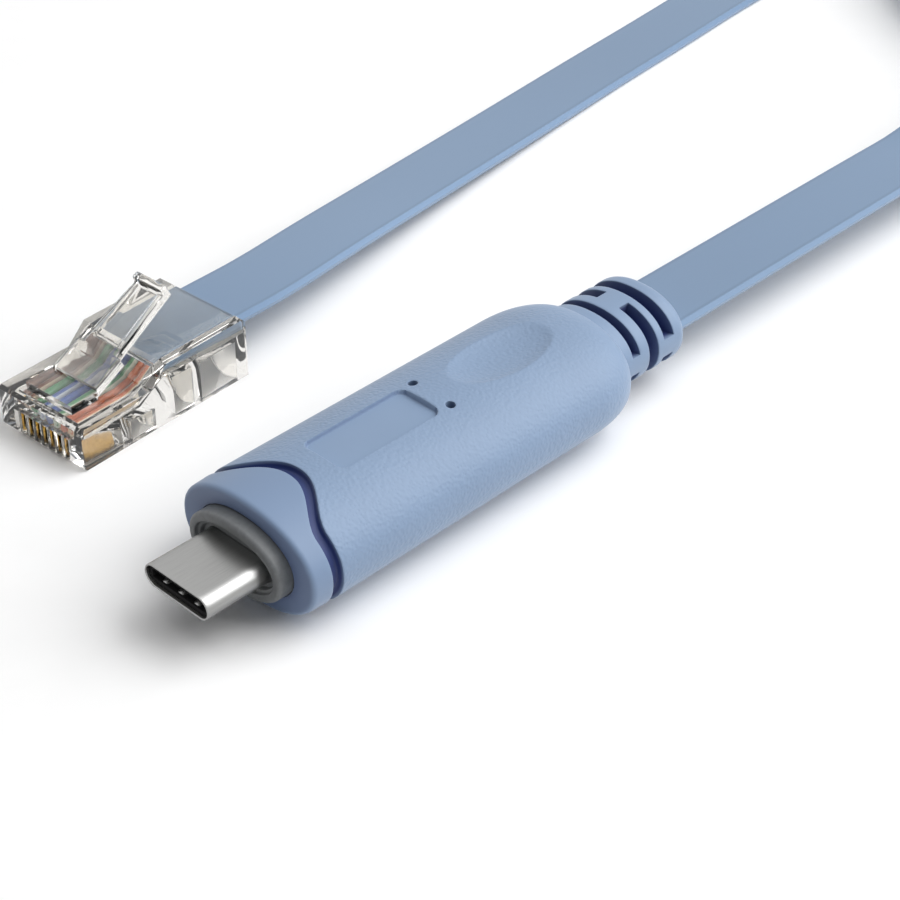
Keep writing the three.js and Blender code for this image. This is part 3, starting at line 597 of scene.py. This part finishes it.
class CABLE_OT_tie(bpy.types.Operator):
    """Makes the coated wire tie round the coil's turns"""

    bl_idname = "console_cable.tie"
    bl_label = "Coil tie"

    def execute(self, context):
        inner, outer = COIL_INNER - 1.3, COIL_OUTER + 1.3
        loop = rounded_ring(outer - inner, 9.15, 1.2, 96)
        turn = math.radians(TIE_ANGLE)
        out, up = np.array([math.cos(turn), math.sin(turn), 0]), np.array([0, 0, 1.0])
        along = np.array([-math.sin(turn), math.cos(turn), 0])
        centre = np.array([*COIL_CENTRE, 4.88]) + out * (inner + outer) / 2
        path = centre + loop[:, :1] * out + loop[:, 1:] * up
        width = np.concatenate([np.linspace(-1.75, 1.75, 15), np.linspace(1.75, -1.75, 15)])
        # A thin ribbon with the wire as a round ridge along its middle
        rise = 0.12 + 0.17 * np.exp(-((width / 0.4) ** 2))
        skin = np.stack([width, np.where(np.arange(30) < 15, 1, -1) * rise], -1)
        direction = np.roll(path, -1, 0) - np.roll(path, 1, 0)
        direction /= np.linalg.norm(direction, axis=1, keepdims=True)
        normal = np.cross(along, direction)
        band = path[:, None] + skin[None, :, :1] * along + skin[None, :, 1:] * normal[:, None]
        # The ends, twisted together five times and bent back along the coil
        s = np.linspace(0, 1, 90)
        away = (outer - inner) / 2 + 0.3 + 1.1 * smooth(s * 3)
        tail = centre + out * away[:, None] + along * (s * 13)[:, None]
        tail = tail + up * (0.6 * np.sin(s * 2.2))[:, None]
        spin = s * 5 * 2 * math.pi
        across = out * np.cos(spin)[:, None] + up * np.sin(spin)[:, None]
        twist = swept(tail, across, rounded_ring(1.9, 0.62, 0.3, 20))
        material = moulded_resin("PVC coated wire tie", 0x1A1B1D, 0x26272A, 0.55, 0.4)
        parts = [grid_part(band, wrap_rows=True), grid_part(twist, caps=(True, True))]
        tie = put("coil_ribbon_tie", parts, [material], "lead")
        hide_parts("coil_tie")
        return {"FINISHED"}


# Housing


def body_half(x):
    """Half width and half height of the housing at places from the nose: a slight draft at the nose,
    even along the body, a superellipse quarter at the shoulder and a rounded end."""
    draft = 0.15 * np.clip(1 - x / 3, 0, 1)
    t = np.clip((x - BODY_LENGTH) / SHOULDER_LENGTH, 0, 1)
    share = (1 - t**SHOULDER_POWER) ** (1 / SHOULDER_POWER)
    over = np.clip((x - (END - NOSE) + 1.1) / 1.1, 0, 1)
    edge = 1.1 * (1 - np.sqrt(np.clip(1 - over**2, 0, 1)))
    return [small + (large - small) * share - draft - edge for large, small in zip(BODY_HALF, RELIEF_HALF)]


def groove_rows(depth):
    """Places across the groove and their depths: a small round on each edge and a flat floor."""
    half = [(0.70, 0), (0.62, 0.01), (0.59, 0.03), (0.575, 0.1), (0.565, 0.5), (0.53, 0.9), (0.45, 1),
            (0.2, 1)]
    return [(-x, d * depth) for x, d in half] + [(0.0, depth)] + [(x, d * depth) for x, d in reversed(half)]


def slot_rows(start, length, depth):
    """Places along one slot and their depths, with a small round on each edge."""
    half = [(-0.14, 0), (-0.05, 0.01), (-0.01, 0.03), (0.0, 0.12), (0.012, 0.85), (0.08, 1), (0.25, 1)]
    rows = [(start + x, d * depth) for x, d in half]
    return rows + [(start + length - x, d * depth) for x, d in reversed(half)]


def housing_columns():
    """Angles round the oval, close together where a lamp hole, a recess edge or a bridge lies."""
    near_top = np.concatenate([[0, 0.4, 0.8, 1.15, 1.42], LAMP_HOLE[1] + 0.095 * np.arange(-8, 9),
                               [3.35, 3.6, 3.9, 4.3, 4.8, 5.4, 6.0, 6.5]]) / BODY_HALF[0]
    near_side = np.array([0.66, 0.6, 0.53, 0.46, 0.40, 0.35, 0.32, 0.30, 0.288, 0.276, 0.264, 0.25, 0.2, 0.13,
                          0.06])
    quarter = np.concatenate([[0.0], np.arcsin(near_side[::-1] ** (OVAL_POWER / 2)),
                              np.arccos(near_top[::-1] ** (OVAL_POWER / 2))])
    half_turn = np.concatenate([quarter, math.pi - quarter[-2::-1]])
    return np.concatenate([half_turn, math.pi + quarter[1:], 2 * math.pi - quarter[-2:0:-1]])


def lamp_holes(top, x, y, z, deep):
    """Both lamp holes: squares of the grid are drawn into circles, the middle one is sunk, and the sunk hole
    takes painted shade.
    """
    for side in (-1, 1):
        dx, dy = x - LAMP_HOLE[0], y - side * LAMP_HOLE[1]
        square = np.maximum(np.abs(dx), np.abs(dy))
        near = top & (square < 1.04)
        reach = np.maximum(np.hypot(dx, dy), 1e-6)
        round_off = 1 - smooth((square - 0.6) / 0.44)
        factor = np.where(near, 1 + (square / reach - 1) * round_off, 1)
        inner = near & (square < 0.43)
        factor = np.where(inner & (square > 0.33), factor * LAMP_RADIUS / 0.38, factor)
        x = np.where(near, LAMP_HOLE[0] + dx * factor, x)
        y = np.where(near, side * LAMP_HOLE[1] + dy * factor, y)
        crown = BODY_HALF[1] * (1 - np.minimum(np.abs(y) / BODY_HALF[0], 1) ** OVAL_POWER) ** (1 / OVAL_POWER)
        z = np.where(near, crown - np.where(inner, 1.5, np.where(square < 0.5, 0.04, 0)), z)
        # Painted shade: the sunk hole is painted in the full groove shade colour
        deep = np.where(inner, 2.2, deep)
    return x, y, z, deep


def label_recess(top, x, y, z, pebble, deep):
    """The label recess: a flat floor without pebbles, and a line of painted shade along its wall."""
    half_long, half_wide = RECESS_SIZE[0] / 2, RECESS_SIZE[1] / 2
    qx = np.abs(x - (RECESS_START + half_long)) - (half_long - RECESS_CORNER)
    qy = np.abs(y) - (half_wide - RECESS_CORNER)
    outside = np.hypot(np.maximum(qx, 0), np.maximum(qy, 0)) + np.minimum(np.maximum(qx, qy), 0)
    outside = outside - RECESS_CORNER
    sunk = np.where(top, smooth(0.5 - outside / 0.14), 0)
    floor = BODY_HALF[1] - RECESS_DEPTH
    z = z + (floor - z) * sunk * (z > floor)
    pebble = pebble * (1 - sunk)
    # Painted shade along the recess's wall
    wall = np.where(top, np.exp(-((outside / 0.1) ** 2)), 0)
    deep = np.maximum(deep, 0.35 * wall * (sunk > 0.3))
    return z, pebble, deep


def thumb_dip(top, x, y, z):
    """The thumb dip: the top is lowered to the underside of an egg, with a rounded rim."""
    rim = math.sqrt(1 - (1 - DIP_DEPTH / DIP_ROUND) ** 2)
    fall = 1 - ((x - DIP_CENTRE) * rim / DIP_HALF[0]) ** 2 - (y * rim / DIP_HALF[1]) ** 2
    egg = BODY_HALF[1] + DIP_ROUND - DIP_DEPTH - DIP_ROUND * np.sqrt(np.clip(fall, 0, 1))
    egg = np.where(fall > 0, egg, 99.0)
    gap = np.clip(0.5 + (egg - z) / 0.16, 0, 1)
    dipped = egg * (1 - gap) + z * gap - 0.08 * gap * (1 - gap)
    return np.where(top & (x > 25) & (x < 38), dipped, z)


def housing_grid(settings):
    """The housing as rows along it by columns round it, with how much of each point is pebbled and
    how much painted shade it takes. Each row has a place, half sizes and a depth, and the groove's rows are
    drawn back in a cosine squared wave."""
    length = END - NOSE
    relief = BODY_LENGTH + SHOULDER_LENGTH
    depths = dict((round(GROOVE_PLACE + x, 4), d) for x, d in groove_rows(settings.groove_depth / MM))
    slots = {}
    for ring, (start, long) in enumerate(SLOTS):
        for x, d in slot_rows(relief + start, long, settings.slot_depth / MM):
            slots[round(x, 4)] = (ring, d)
    fine = np.arange
    turn = np.radians(np.linspace(0, 90, 26))
    places = np.concatenate([
        [0.4, 0.55, 0.8, 1.1, 1.4, 1.75], list(depths), fine(3.6, 8.7, 0.3), fine(8.75, 9.95, 0.08),
        fine(10.1, 20.0, 0.55), fine(20.05, 21.2, 0.08), LAMP_HOLE[0] + 0.095 * np.arange(-11, 12),
        fine(23.55, 25.1, 0.3), fine(25.12, 37.8, 0.16),
        BODY_LENGTH + SHOULDER_LENGTH * np.sin(turn) ** (2 / SHOULDER_POWER),
        list(slots), relief + np.array([0.3, 0.7, 1.1, 2.9, 3.2, 3.5, 5.4, 5.7, 7.65, 7.9, 8.1]),
        length - 1.1 + 1.1 * np.sin(np.radians([0, 15, 30, 45, 60, 75, 90]))])
    places = np.unique(np.round(places, 4))
    angles = housing_columns()
    unit = oval_ring(angles, 1, 1)
    wide, tall = body_half(places)
    ring_depth = np.array([depths.get(x, 0.0) for x in places])
    slot_ring = np.array([slots.get(x, (9, 0))[0] for x in places])
    slot_depth = np.array([slots.get(x, (9, 0))[1] for x in places])
    off_side = np.abs(unit[:, 1]) * RELIEF_HALF[1]
    off_top = np.abs(unit[:, 0]) * RELIEF_HALF[0]
    open_side = np.clip((off_side - 1.0) / 0.1, 0, 1)
    open_top = np.clip((off_top - 1.4) / 0.1, 0, 1)
    mask = np.where(slot_ring[:, None] == 1, open_top[None], open_side[None])
    depth = ring_depth[:, None] + slot_depth[:, None] * mask
    steep = np.degrees(np.arcsin(np.clip(np.abs(np.sin(angles)), 0, 1)))
    wave = np.where(90 - steep < 50, np.cos(np.radians(90 * (90 - steep) / 50)) ** 2, 0)
    drawn = smooth((places - 0.4) / 1.6) * (1 - smooth((places - 3.47) / 5.2))
    x = places[:, None] + GROOVE_WAVE * wave[None] * drawn[:, None]
    y = (wide[:, None] - depth) * unit[None, :, 0]
    z = (tall[:, None] - depth) * unit[None, :, 1]
    pebble = (places[:, None] > 3.4) * (1 - smooth((places[:, None] - 40) / 2.5)) * np.ones_like(z)
    # Painted shade on the groove's and slots' walls and floors, full from 0.25 mm down
    deep = depth / 0.25
    # Painted shade: the cap in front of the groove is painted a little darker than the body
    deep = np.maximum(deep, 0.12 * (1 - smooth((places[:, None] - 2.0) / 0.9)))
    top = z > 0
    x, y, z, deep = lamp_holes(top, x, y, z, deep)
    z, pebble, deep = label_recess(top, x, y, z, pebble, deep)
    z = thumb_dip(top, x, y, z)
    return np.stack([x + NOSE, y, z], -1), pebble, np.clip(deep, 0, 1)


class CABLE_OT_housing(bpy.types.Operator):
    """Makes the moulded housing with its groove, label recess, lamp holes, thumb dip and slots"""

    bl_idname = "console_cable.housing"
    bl_label = "Housing"

    def execute(self, context):
        settings = context.scene.cable_housing
        points, pebble, deep = housing_grid(settings)
        angles = housing_columns()
        # The nose: pocket floor and wall round the collar, flat face and rounded edge
        edge = np.radians([0, 18, 36, 54, 72])
        sizes = [(1.5, 5.95, 3.65), (0.08, 5.95, 3.65), (0.0, 6.02, 3.72), (0.0, 7.1, 4.3), (0.0, 7.9, 4.65)]
        sizes += [(0.4 * (1 - math.cos(e)), 8.05 + 0.4 * math.sin(e), 4.8 + 0.4 * math.sin(e)) for e in edge]
        # Painted shade on the nose face, deepest in the pocket
        shade = np.array([1.0, 0.9, 0.62, 0.5, 0.46, 0.42, 0.32, 0.18, 0.13, 0.12])
        nose = rings_along_x([(NOSE + x, oval_ring(angles, wide, tall)) for x, wide, tall in sizes])
        grid = np.vstack([nose, points])
        pad = lambda nose_values, values: np.concatenate(
            [np.repeat(nose_values, len(angles)), values.reshape(-1), [0, 0]])
        part = grid_part(in_housing(grid), caps=(True, True))
        material = moulded_pvc(settings)
        # The depth attribute holds each point's share of painted shade
        housing = put("moulded_housing", [part], [material], "lead", sharp=45,
                      values={"pebble": pad(shade * 0, pebble), "depth": pad(shade, deep)})
        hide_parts("housing")
        return {"FINISHED"}


# USB-C plug


def bead_rows(front, back, wall, edge=0.12):
    """Places along a tube's wall and how far each lies inside its outside: round at the front lip."""
    turn = np.radians(np.linspace(0, 180, 9))
    lip = [(front + edge * (1 - math.sin(t)), wall / 2 - (wall / 2) * math.cos(t)) for t in turn]
    return [(back, 0.0), ((front + back) / 2, 0.0), (front + 0.6, 0.0), *lip, (front + 0.6, wall),
            ((front + back) / 2, wall), (back, wall)]


class CABLE_OT_usb_plug(bpy.types.Operator):
    """Makes the USB-C plug: steel shell, collar, inner moulding, ground springs and contacts"""

    bl_idname = "console_cable.usb_plug"
    bl_label = "USB-C plug"

    def execute(self, context):
        steel = drawn_steel()
        rows = bead_rows(0, 9.3, 0.19)
        width, height = SHELL_SIZE
        grid = rings_along_x(
            [(x, rounded_ring(width - 2 * d, height - 2 * d, height / 2 - d, 96)) for x, d in rows])
        shell = put("usb_c_steel_shell", [grid_part(in_housing(grid), wrap_rows=True)], [steel], "lead",
                    sharp=50)
        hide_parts("usb_c_shell")

        angles = np.linspace(0, 2 * math.pi, 120, endpoint=False)
        front, (wide, tall) = COLLAR_FRONT, COLLAR_HALF
        hole = rounded_ring(8.35, 2.5, 1.24, 120)
        turn = np.radians([0, 15, 30, 45, 60, 75, 90])
        outer = [(front + COLLAR_ROUND * (1 - math.sin(t)), COLLAR_ROUND * (1 - math.cos(t)))
                 for t in turn[::-1]]
        # The stepped dish round the shell's root, 0.8 mm deep behind the rim
        dish = [(0.8, -0.52), (0.78, -0.4), (0.7, -0.36), (0.42, -0.3), (0.36, -0.24), (0.33, -0.1),
                (0.26, -0.02), (0.08, 0.02), (0.02, 0.06), (0.0, 0.14)]
        seated = [(COLLAR_BACK, hole), (front + 0.84, hole), (front + 0.8, hole * 1.01)]
        seated += [(front + x, oval_ring(angles, 5.0 + d, 2.68 + d)) for x, d in dish]
        outer += [(front + 1.2, 0), (COLLAR_BACK, 0)]
        seated += [(x, oval_ring(angles, wide - d, tall - d)) for x, d in outer]
        grid = in_housing(rings_along_x(seated))
        grey = moulded_resin("Moulded grey resin", 0x5F6264, 0x696C6E, 0.45, 0.5)
        collar = put("plug_collar_moulding", [grid_part(grid, wrap_rows=True)], [grey], "lead",
                     sharp=50)
        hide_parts("plug_collar")

        black = moulded_resin("Black moulded resin", 0x060607, 0x0A0A0B, 0.7, 0.3, gloss=0.12)
        outline = rounded_ring(7.82, 1.97, 0.97, 80)
        mouth = rounded_ring(6.7, 0.8, 0.12, 80)
        rows = [(8.2, outline), (0.4, outline), (0.34, outline * (0.985, 0.95)), (0.32, mouth * (1.02, 1.12)),
                (0.42, mouth), (5.4, mouth)]
        grid = in_housing(rings_along_x(rows))
        insert = put("usb_c_inner_moulding", [grid_part(grid, caps=(True, True))], [black], "lead")
        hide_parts("usb_c_insert")

        # Ground springs: a thin strip whose height is a sum of three bell curves across its width
        across = np.linspace(-2.85, 2.85, 115)
        along = np.linspace(0.45, 1.5, 14)
        bell = sum(np.exp(-(((across - k * 2.05) / 0.3) ** 2)) for k in (-1, 0, 1))
        crest = np.sin(np.pi * np.clip((along - 0.45) / 1.05, 0, 1)) ** 0.7
        height = 0.2 * bell[None] * crest[:, None]
        for name, node, side in (("ground_spring_strip_lower", "ground_spring_lower", -1),
                                 ("ground_spring_strip_upper", "ground_spring_upper", 1)):
            top = np.stack(np.broadcast_arrays(along[:, None], across[None], side * (0.42 - height)), -1)
            low = np.stack(np.broadcast_arrays(along[:, None], across[None], side * 0.45 + 0 * height), -1)
            ring = np.concatenate([top, low[:, ::-1]], 1)
            strip = put(name, [grid_part(in_housing(ring), caps=(True, True))], [steel], "lead",
                        sharp=60)
            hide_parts(node)

        # Contacts: two rows of twelve slim fingers, each bowed towards the mouth's middle
        gold = gold_plate()
        ring = rounded_ring(0.24, 0.09, 0.03, 12)
        s = np.linspace(0, 1, 10)
        fingers = []
        for side in (-1, 1):
            for k in range(12):
                y = (k - 5.5) * 0.5
                bow = side * (0.35 - 0.16 * np.sin(np.pi * np.clip(s * 1.2, 0, 1)))
                line = np.stack([2.4 + 2.9 * s, np.full(10, y), bow], -1)
                points = swept(line, np.tile([0.0, 1.0, 0.0], (10, 1)), ring)
                fingers.append(grid_part(in_housing(points), caps=(True, True)))
        put("usb_c_contact_fingers", fingers, [gold], "lead", sharp=50)
        return {"FINISHED"}


# Modular plug

CORES = [
    ("core_white_orange", 0xDCC2A0, 0xBE5A20), ("core_orange", 0xC25C1E, None),
    ("core_white_green", 0xCBD8C8, 0x3E8A5E), ("core_blue", 0x3157A4, None),
    ("core_white_blue", 0xC7D2E0, 0x3157A4), ("core_green", 0x3F8B5F, None),
    ("core_white_brown", 0xD2BDA8, 0x6E4024), ("core_brown", 0x6C3E22, None),
]


def bevelled_copy(node, name, radius):
    """A merged copy of a CAD node's mesh with its edges rounded."""
    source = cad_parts[node]
    piece = bpy.data.objects.new(name, source.data.copy())
    bpy.context.scene.collection.objects.link(piece)
    weld = piece.modifiers.new("Weld", "WELD")
    weld.merge_threshold = 0.002 * MM
    flat = piece.modifiers.new("Planes", "DECIMATE")
    flat.decimate_type, flat.angle_limit = "DISSOLVE", math.radians(1)
    bevel = piece.modifiers.new("Bevel", "BEVEL")
    bevel.width, bevel.segments, bevel.limit_method = radius, 2, "ANGLE"
    bevel.angle_limit, bevel.harden_normals = math.radians(25), False
    graph = bpy.context.evaluated_depsgraph_get()
    mesh = bpy.data.meshes.new_from_object(piece.evaluated_get(graph))
    piece.modifiers.clear()
    piece.data = mesh
    mesh.materials.clear()
    mesh.shade_smooth()
    mesh.set_sharp_from_angle(angle=math.radians(35))
    return piece


def latch_stations():
    """Places along the latch from its root with half width, thickness and channel depth: a broad
    plate, a step in to the handle, a channel between two rails and a thicker bar at the end."""
    return [
        (0.0, 3.1, 0.95, 0), (0.6, 3.1, 0.95, 0), (2.2, 3.1, 0.95, 0), (3.95, 3.1, 0.95, 0),
        (4.08, 3.04, 0.95, 0), (4.14, 2.9, 0.95, 0), (4.2, 2.44, 0.95, 0), (4.32, 2.4, 0.95, 0),
        (4.95, 2.36, 0.95, 0), (5.1, 2.35, 0.95, 0.42), (7.0, 2.25, 0.95, 0.45), (9.0, 2.14, 0.95, 0.45),
        (11.6, 2.0, 0.95, 0.45), (11.75, 1.99, 1.1, 0.3), (11.85, 1.98, 1.6, 0), (12.0, 1.97, 1.7, 0),
        (12.4, 1.96, 1.7, 0), (12.55, 1.9, 1.6, 0), (12.6, 1.84, 1.45, 0),
    ]


def latch_section(half, thick, channel):
    """A ring round the latch: its lower edge, rounded corners and an upper side sunk between rails.
    Places across are shares of the half width, and heights shares of the thickness."""
    rail = max(half - 0.72, 0.1)
    bed = thick - channel
    upper = [(half - 0.1, thick), (rail + 0.06, thick), (rail, bed), (rail * 0.5, bed), (0.0, bed)]
    right = [(half - 0.1, 0.0), (half - 0.03, 0.03), (half, 0.1), (half, thick - 0.1),
             (half - 0.03, thick - 0.03)]
    side = right + upper
    low = [(0.0, 0.0), (half * 0.5, 0.0)]
    mirrored = [(-v, w) for v, w in reversed(side[:-1])] + [(-half * 0.5, 0.0)]
    return np.array(low + side + mirrored)


class CABLE_OT_modular_plug(bpy.types.Operator):
    """Makes the clear modular plug: body, contact blades, cores and latch"""

    bl_idname = "console_cable.modular_plug"
    bl_label = "Modular plug"

    def execute(self, context):
        settings = context.scene.cable_plug
        clear = clear_polycarbonate(settings)
        body = bevelled_copy("modular_plug_body", "clear_plug_body", settings.edge_radius)
        body.data.materials.append(clear)
        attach(body, "lead")
        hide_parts("modular_plug_body")

        # Latch: each station's section stands on a line that leaves the root level and bends to 27 degrees
        grid = []
        for s, half, thick, channel in latch_stations():
            section = latch_section(half, thick, channel)
            bend = LATCH_SLOPE * float(smooth(np.array(s / 0.5)))
            u = LATCH_ROOT[0] + s * math.cos(LATCH_SLOPE)
            w = LATCH_ROOT[1] + s * math.sin(LATCH_SLOPE)
            grid.append(np.stack([u - section[:, 1] * math.sin(bend), section[:, 0],
                                  w + section[:, 1] * math.cos(bend)], -1))
        part = grid_part(in_plug(np.stack(grid)), caps=(True, True))
        latch = put("clear_plug_latch", [part], [clear], None, sharp=35)
        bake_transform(latch)
        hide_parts("modular_plug_latch")

        # Contact blades: a rounded front and foot, and three teeth that bite the core above
        gold = gold_plate()
        outline = np.array([
            (4.7, 0.55), (4.7, 2.5), (4.35, 2.5), (4.2, 3.15), (4.05, 2.5), (3.2, 2.5), (3.05, 3.15),
            (2.9, 2.5), (2.05, 2.5), (1.9, 3.15), (1.75, 2.5), (0.95, 2.5), (0.7, 2.35), (0.55, 2.0),
            (0.5, 1.4), (0.52, 0.9), (0.62, 0.5), (0.85, 0.3), (1.2, 0.25), (4.4, 0.25), (4.6, 0.35)])
        middle = outline.mean(0)
        blades, cores = [], []
        for k in range(8):
            v = (k - 3.5) * CONTACT_PITCH
            layers = [(-0.16, 0.985), (-0.12, 1.0), (0.12, 1.0), (0.16, 0.985)]
            sized = [(off, (outline - middle) * size + middle) for off, size in layers]
            rings = np.stack([np.column_stack([edge[:, 0], np.full(len(edge), v + off), edge[:, 1]])
                              for off, edge in sized])
            blades.append(grid_part(in_plug(rings), caps=(True, True)))
        contacts = put("gold_contact_blades", blades, [gold], "lead", sharp=30)
        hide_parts(*[f"contact_blade_{k}" for k in range(1, 9)])

        for k, (name, colour, stripe) in enumerate(CORES):
            v = (k - 3.5) * CONTACT_PITCH
            places = [(1.3, 3.25), (5.6, 3.25), (7.6, 3.25), (9.25, 4.22), (10.95, 5.2)]
            line = line_through([(u, v, w) for u, w in places], 8)
            ring = rounded_ring(0.84, 0.84, 0.41, 16)
            points = in_plug(swept(line, np.tile([0.0, 1.0, 0.0], (len(line), 1)), ring))
            way = np.stack(np.broadcast_arrays((np.arange(16) / 16)[None],
                                               np.linspace(0, 1, len(line))[:, None]), -1)
            uv = np.vstack([way.reshape(-1, 2), [(0, 0), (0, 1)]])
            material = core_insulation(f"Insulation {name[5:].replace('_', ' ')}", colour, stripe)
            core = put(name, [grid_part(points, caps=(True, True))], [material], "lead", uv=uv)
            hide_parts(f"core_{k + 1}")
        return {"FINISHED"}


class CABLE_OT_declare(bpy.types.Operator):
    bl_idname = "console_cable.declare"
    bl_label = "Declare lead"

    def execute(self, context):
        path = lead_route(context.scene.cable_lead.step / MM)[0] * MM
        names = ["clear_plug_body", "clear_plug_latch", "gold_contact_blades", "coil_ribbon_tie"]
        names += [name for name, _, _ in CORES]
        return {"FINISHED"}


# Stage


class CABLE_OT_stage(bpy.types.Operator):
    """Makes the plain pale floor and the soft studio light"""

    bl_idname = "console_cable.stage"
    bl_label = "Stage"

    def execute(self, context):
        settings = context.scene.cable_stage
        side = np.linspace(-1500, 1500, 31)
        x, y = np.meshgrid(side, side, indexing="ij")
        points = np.stack([x, y, np.full_like(x, -0.05)], -1)
        material, tree, shader = new_material("Painted board", Roughness=0.85)
        place = add_node(tree, "ShaderNodeTexCoord", output="Object")
        # Paint texture about 4 mm across
        paint = add_node(tree, "ShaderNodeTexNoise", {"Scale": 250.0, "Detail": 2.0}, {"Vector": place})
        light = settings.floor_colour
        dress(tree, shader, paint, [(0.3, shaded(light, 0.985)), (0.7, shaded(light))])
        floor = put("floor", [grid_part(points, wrap_columns=False)], [material], None, closed=False)
        for name, place, size, power in (
            ("Key light", (0.48, -0.38, 0.58), 0.85, settings.key_power),
            ("Top light", (0.10, -0.02, 0.90), 1.0, settings.key_power * 0.46),
        ):
            data = bpy.data.lights.new(name, "AREA")
            data.shape, data.size, data.energy = "SQUARE", size, power
            lamp = bpy.data.objects.new(name, data)
            lamp.location = place
            aim = Vector((0.02, 0.01, 0.0)) - lamp.location
            lamp.rotation_euler = aim.to_track_quat("-Z", "Y").to_euler()
            context.scene.collection.objects.link(lamp)
        world = bpy.data.worlds.new("Studio")
        world.use_nodes = True
        sky = world.node_tree.nodes["Background"]
        sky.inputs["Color"].default_value = (1.0, 1.0, 1.0, 1.0)
        # Weak as a light, so that shapes read, and brighter where gloss and clear plastic show it
        rays = add_node(world.node_tree, "ShaderNodeLightPath", output="Is Diffuse Ray")
        level = add_node(world.node_tree, "ShaderNodeMapRange",
                         {"To Min": settings.surround, "To Max": settings.sky}, {"Value": rays})
        world.node_tree.links.new(level, sky.inputs["Strength"])
        context.scene.world = world
        context.scene.view_settings.view_transform = "Standard"
        return {"FINISHED"}


OPERATORS = (CABLE_OT_camera, CABLE_OT_lead, CABLE_OT_tie, CABLE_OT_housing, CABLE_OT_usb_plug,
             CABLE_OT_modular_plug, CABLE_OT_declare, CABLE_OT_stage)
SETTINGS = {"cable_housing": CABLE_PG_housing, "cable_lead": CABLE_PG_lead, "cable_plug": CABLE_PG_plug,
            "cable_stage": CABLE_PG_stage}


class CABLE_PT_panel(bpy.types.Panel):
    """Lists the pieces of the console cable and their settings"""

    bl_idname = "CABLE_PT_panel"
    bl_label = "Console cable"
    bl_space_type = "VIEW_3D"
    bl_region_type = "UI"
    bl_category = "Console cable"

    def draw(self, context):
        for operator in OPERATORS:
            self.layout.operator(operator.bl_idname)
        for name, group in SETTINGS.items():
            box = self.layout.box()
            for key in group.__annotations__:
                box.prop(getattr(context.scene, name), key)


def register():
    for group in SETTINGS.values():
        bpy.utils.register_class(group)
    for name, group in SETTINGS.items():
        setattr(bpy.types.Scene, name, PointerProperty(type=group))
    for operator in OPERATORS:
        bpy.utils.register_class(operator)
    bpy.utils.register_class(CABLE_PT_panel)


def unregister():
    bpy.utils.unregister_class(CABLE_PT_panel)
    for operator in reversed(OPERATORS):
        bpy.utils.unregister_class(operator)
    for name, group in SETTINGS.items():
        delattr(bpy.types.Scene, name)
        bpy.utils.unregister_class(group)


def main():
    register()
    for operator in OPERATORS:
        group, name = operator.bl_idname.split(".")
        getattr(getattr(bpy.ops, group), name)()


if __name__ == "__main__":
    main()
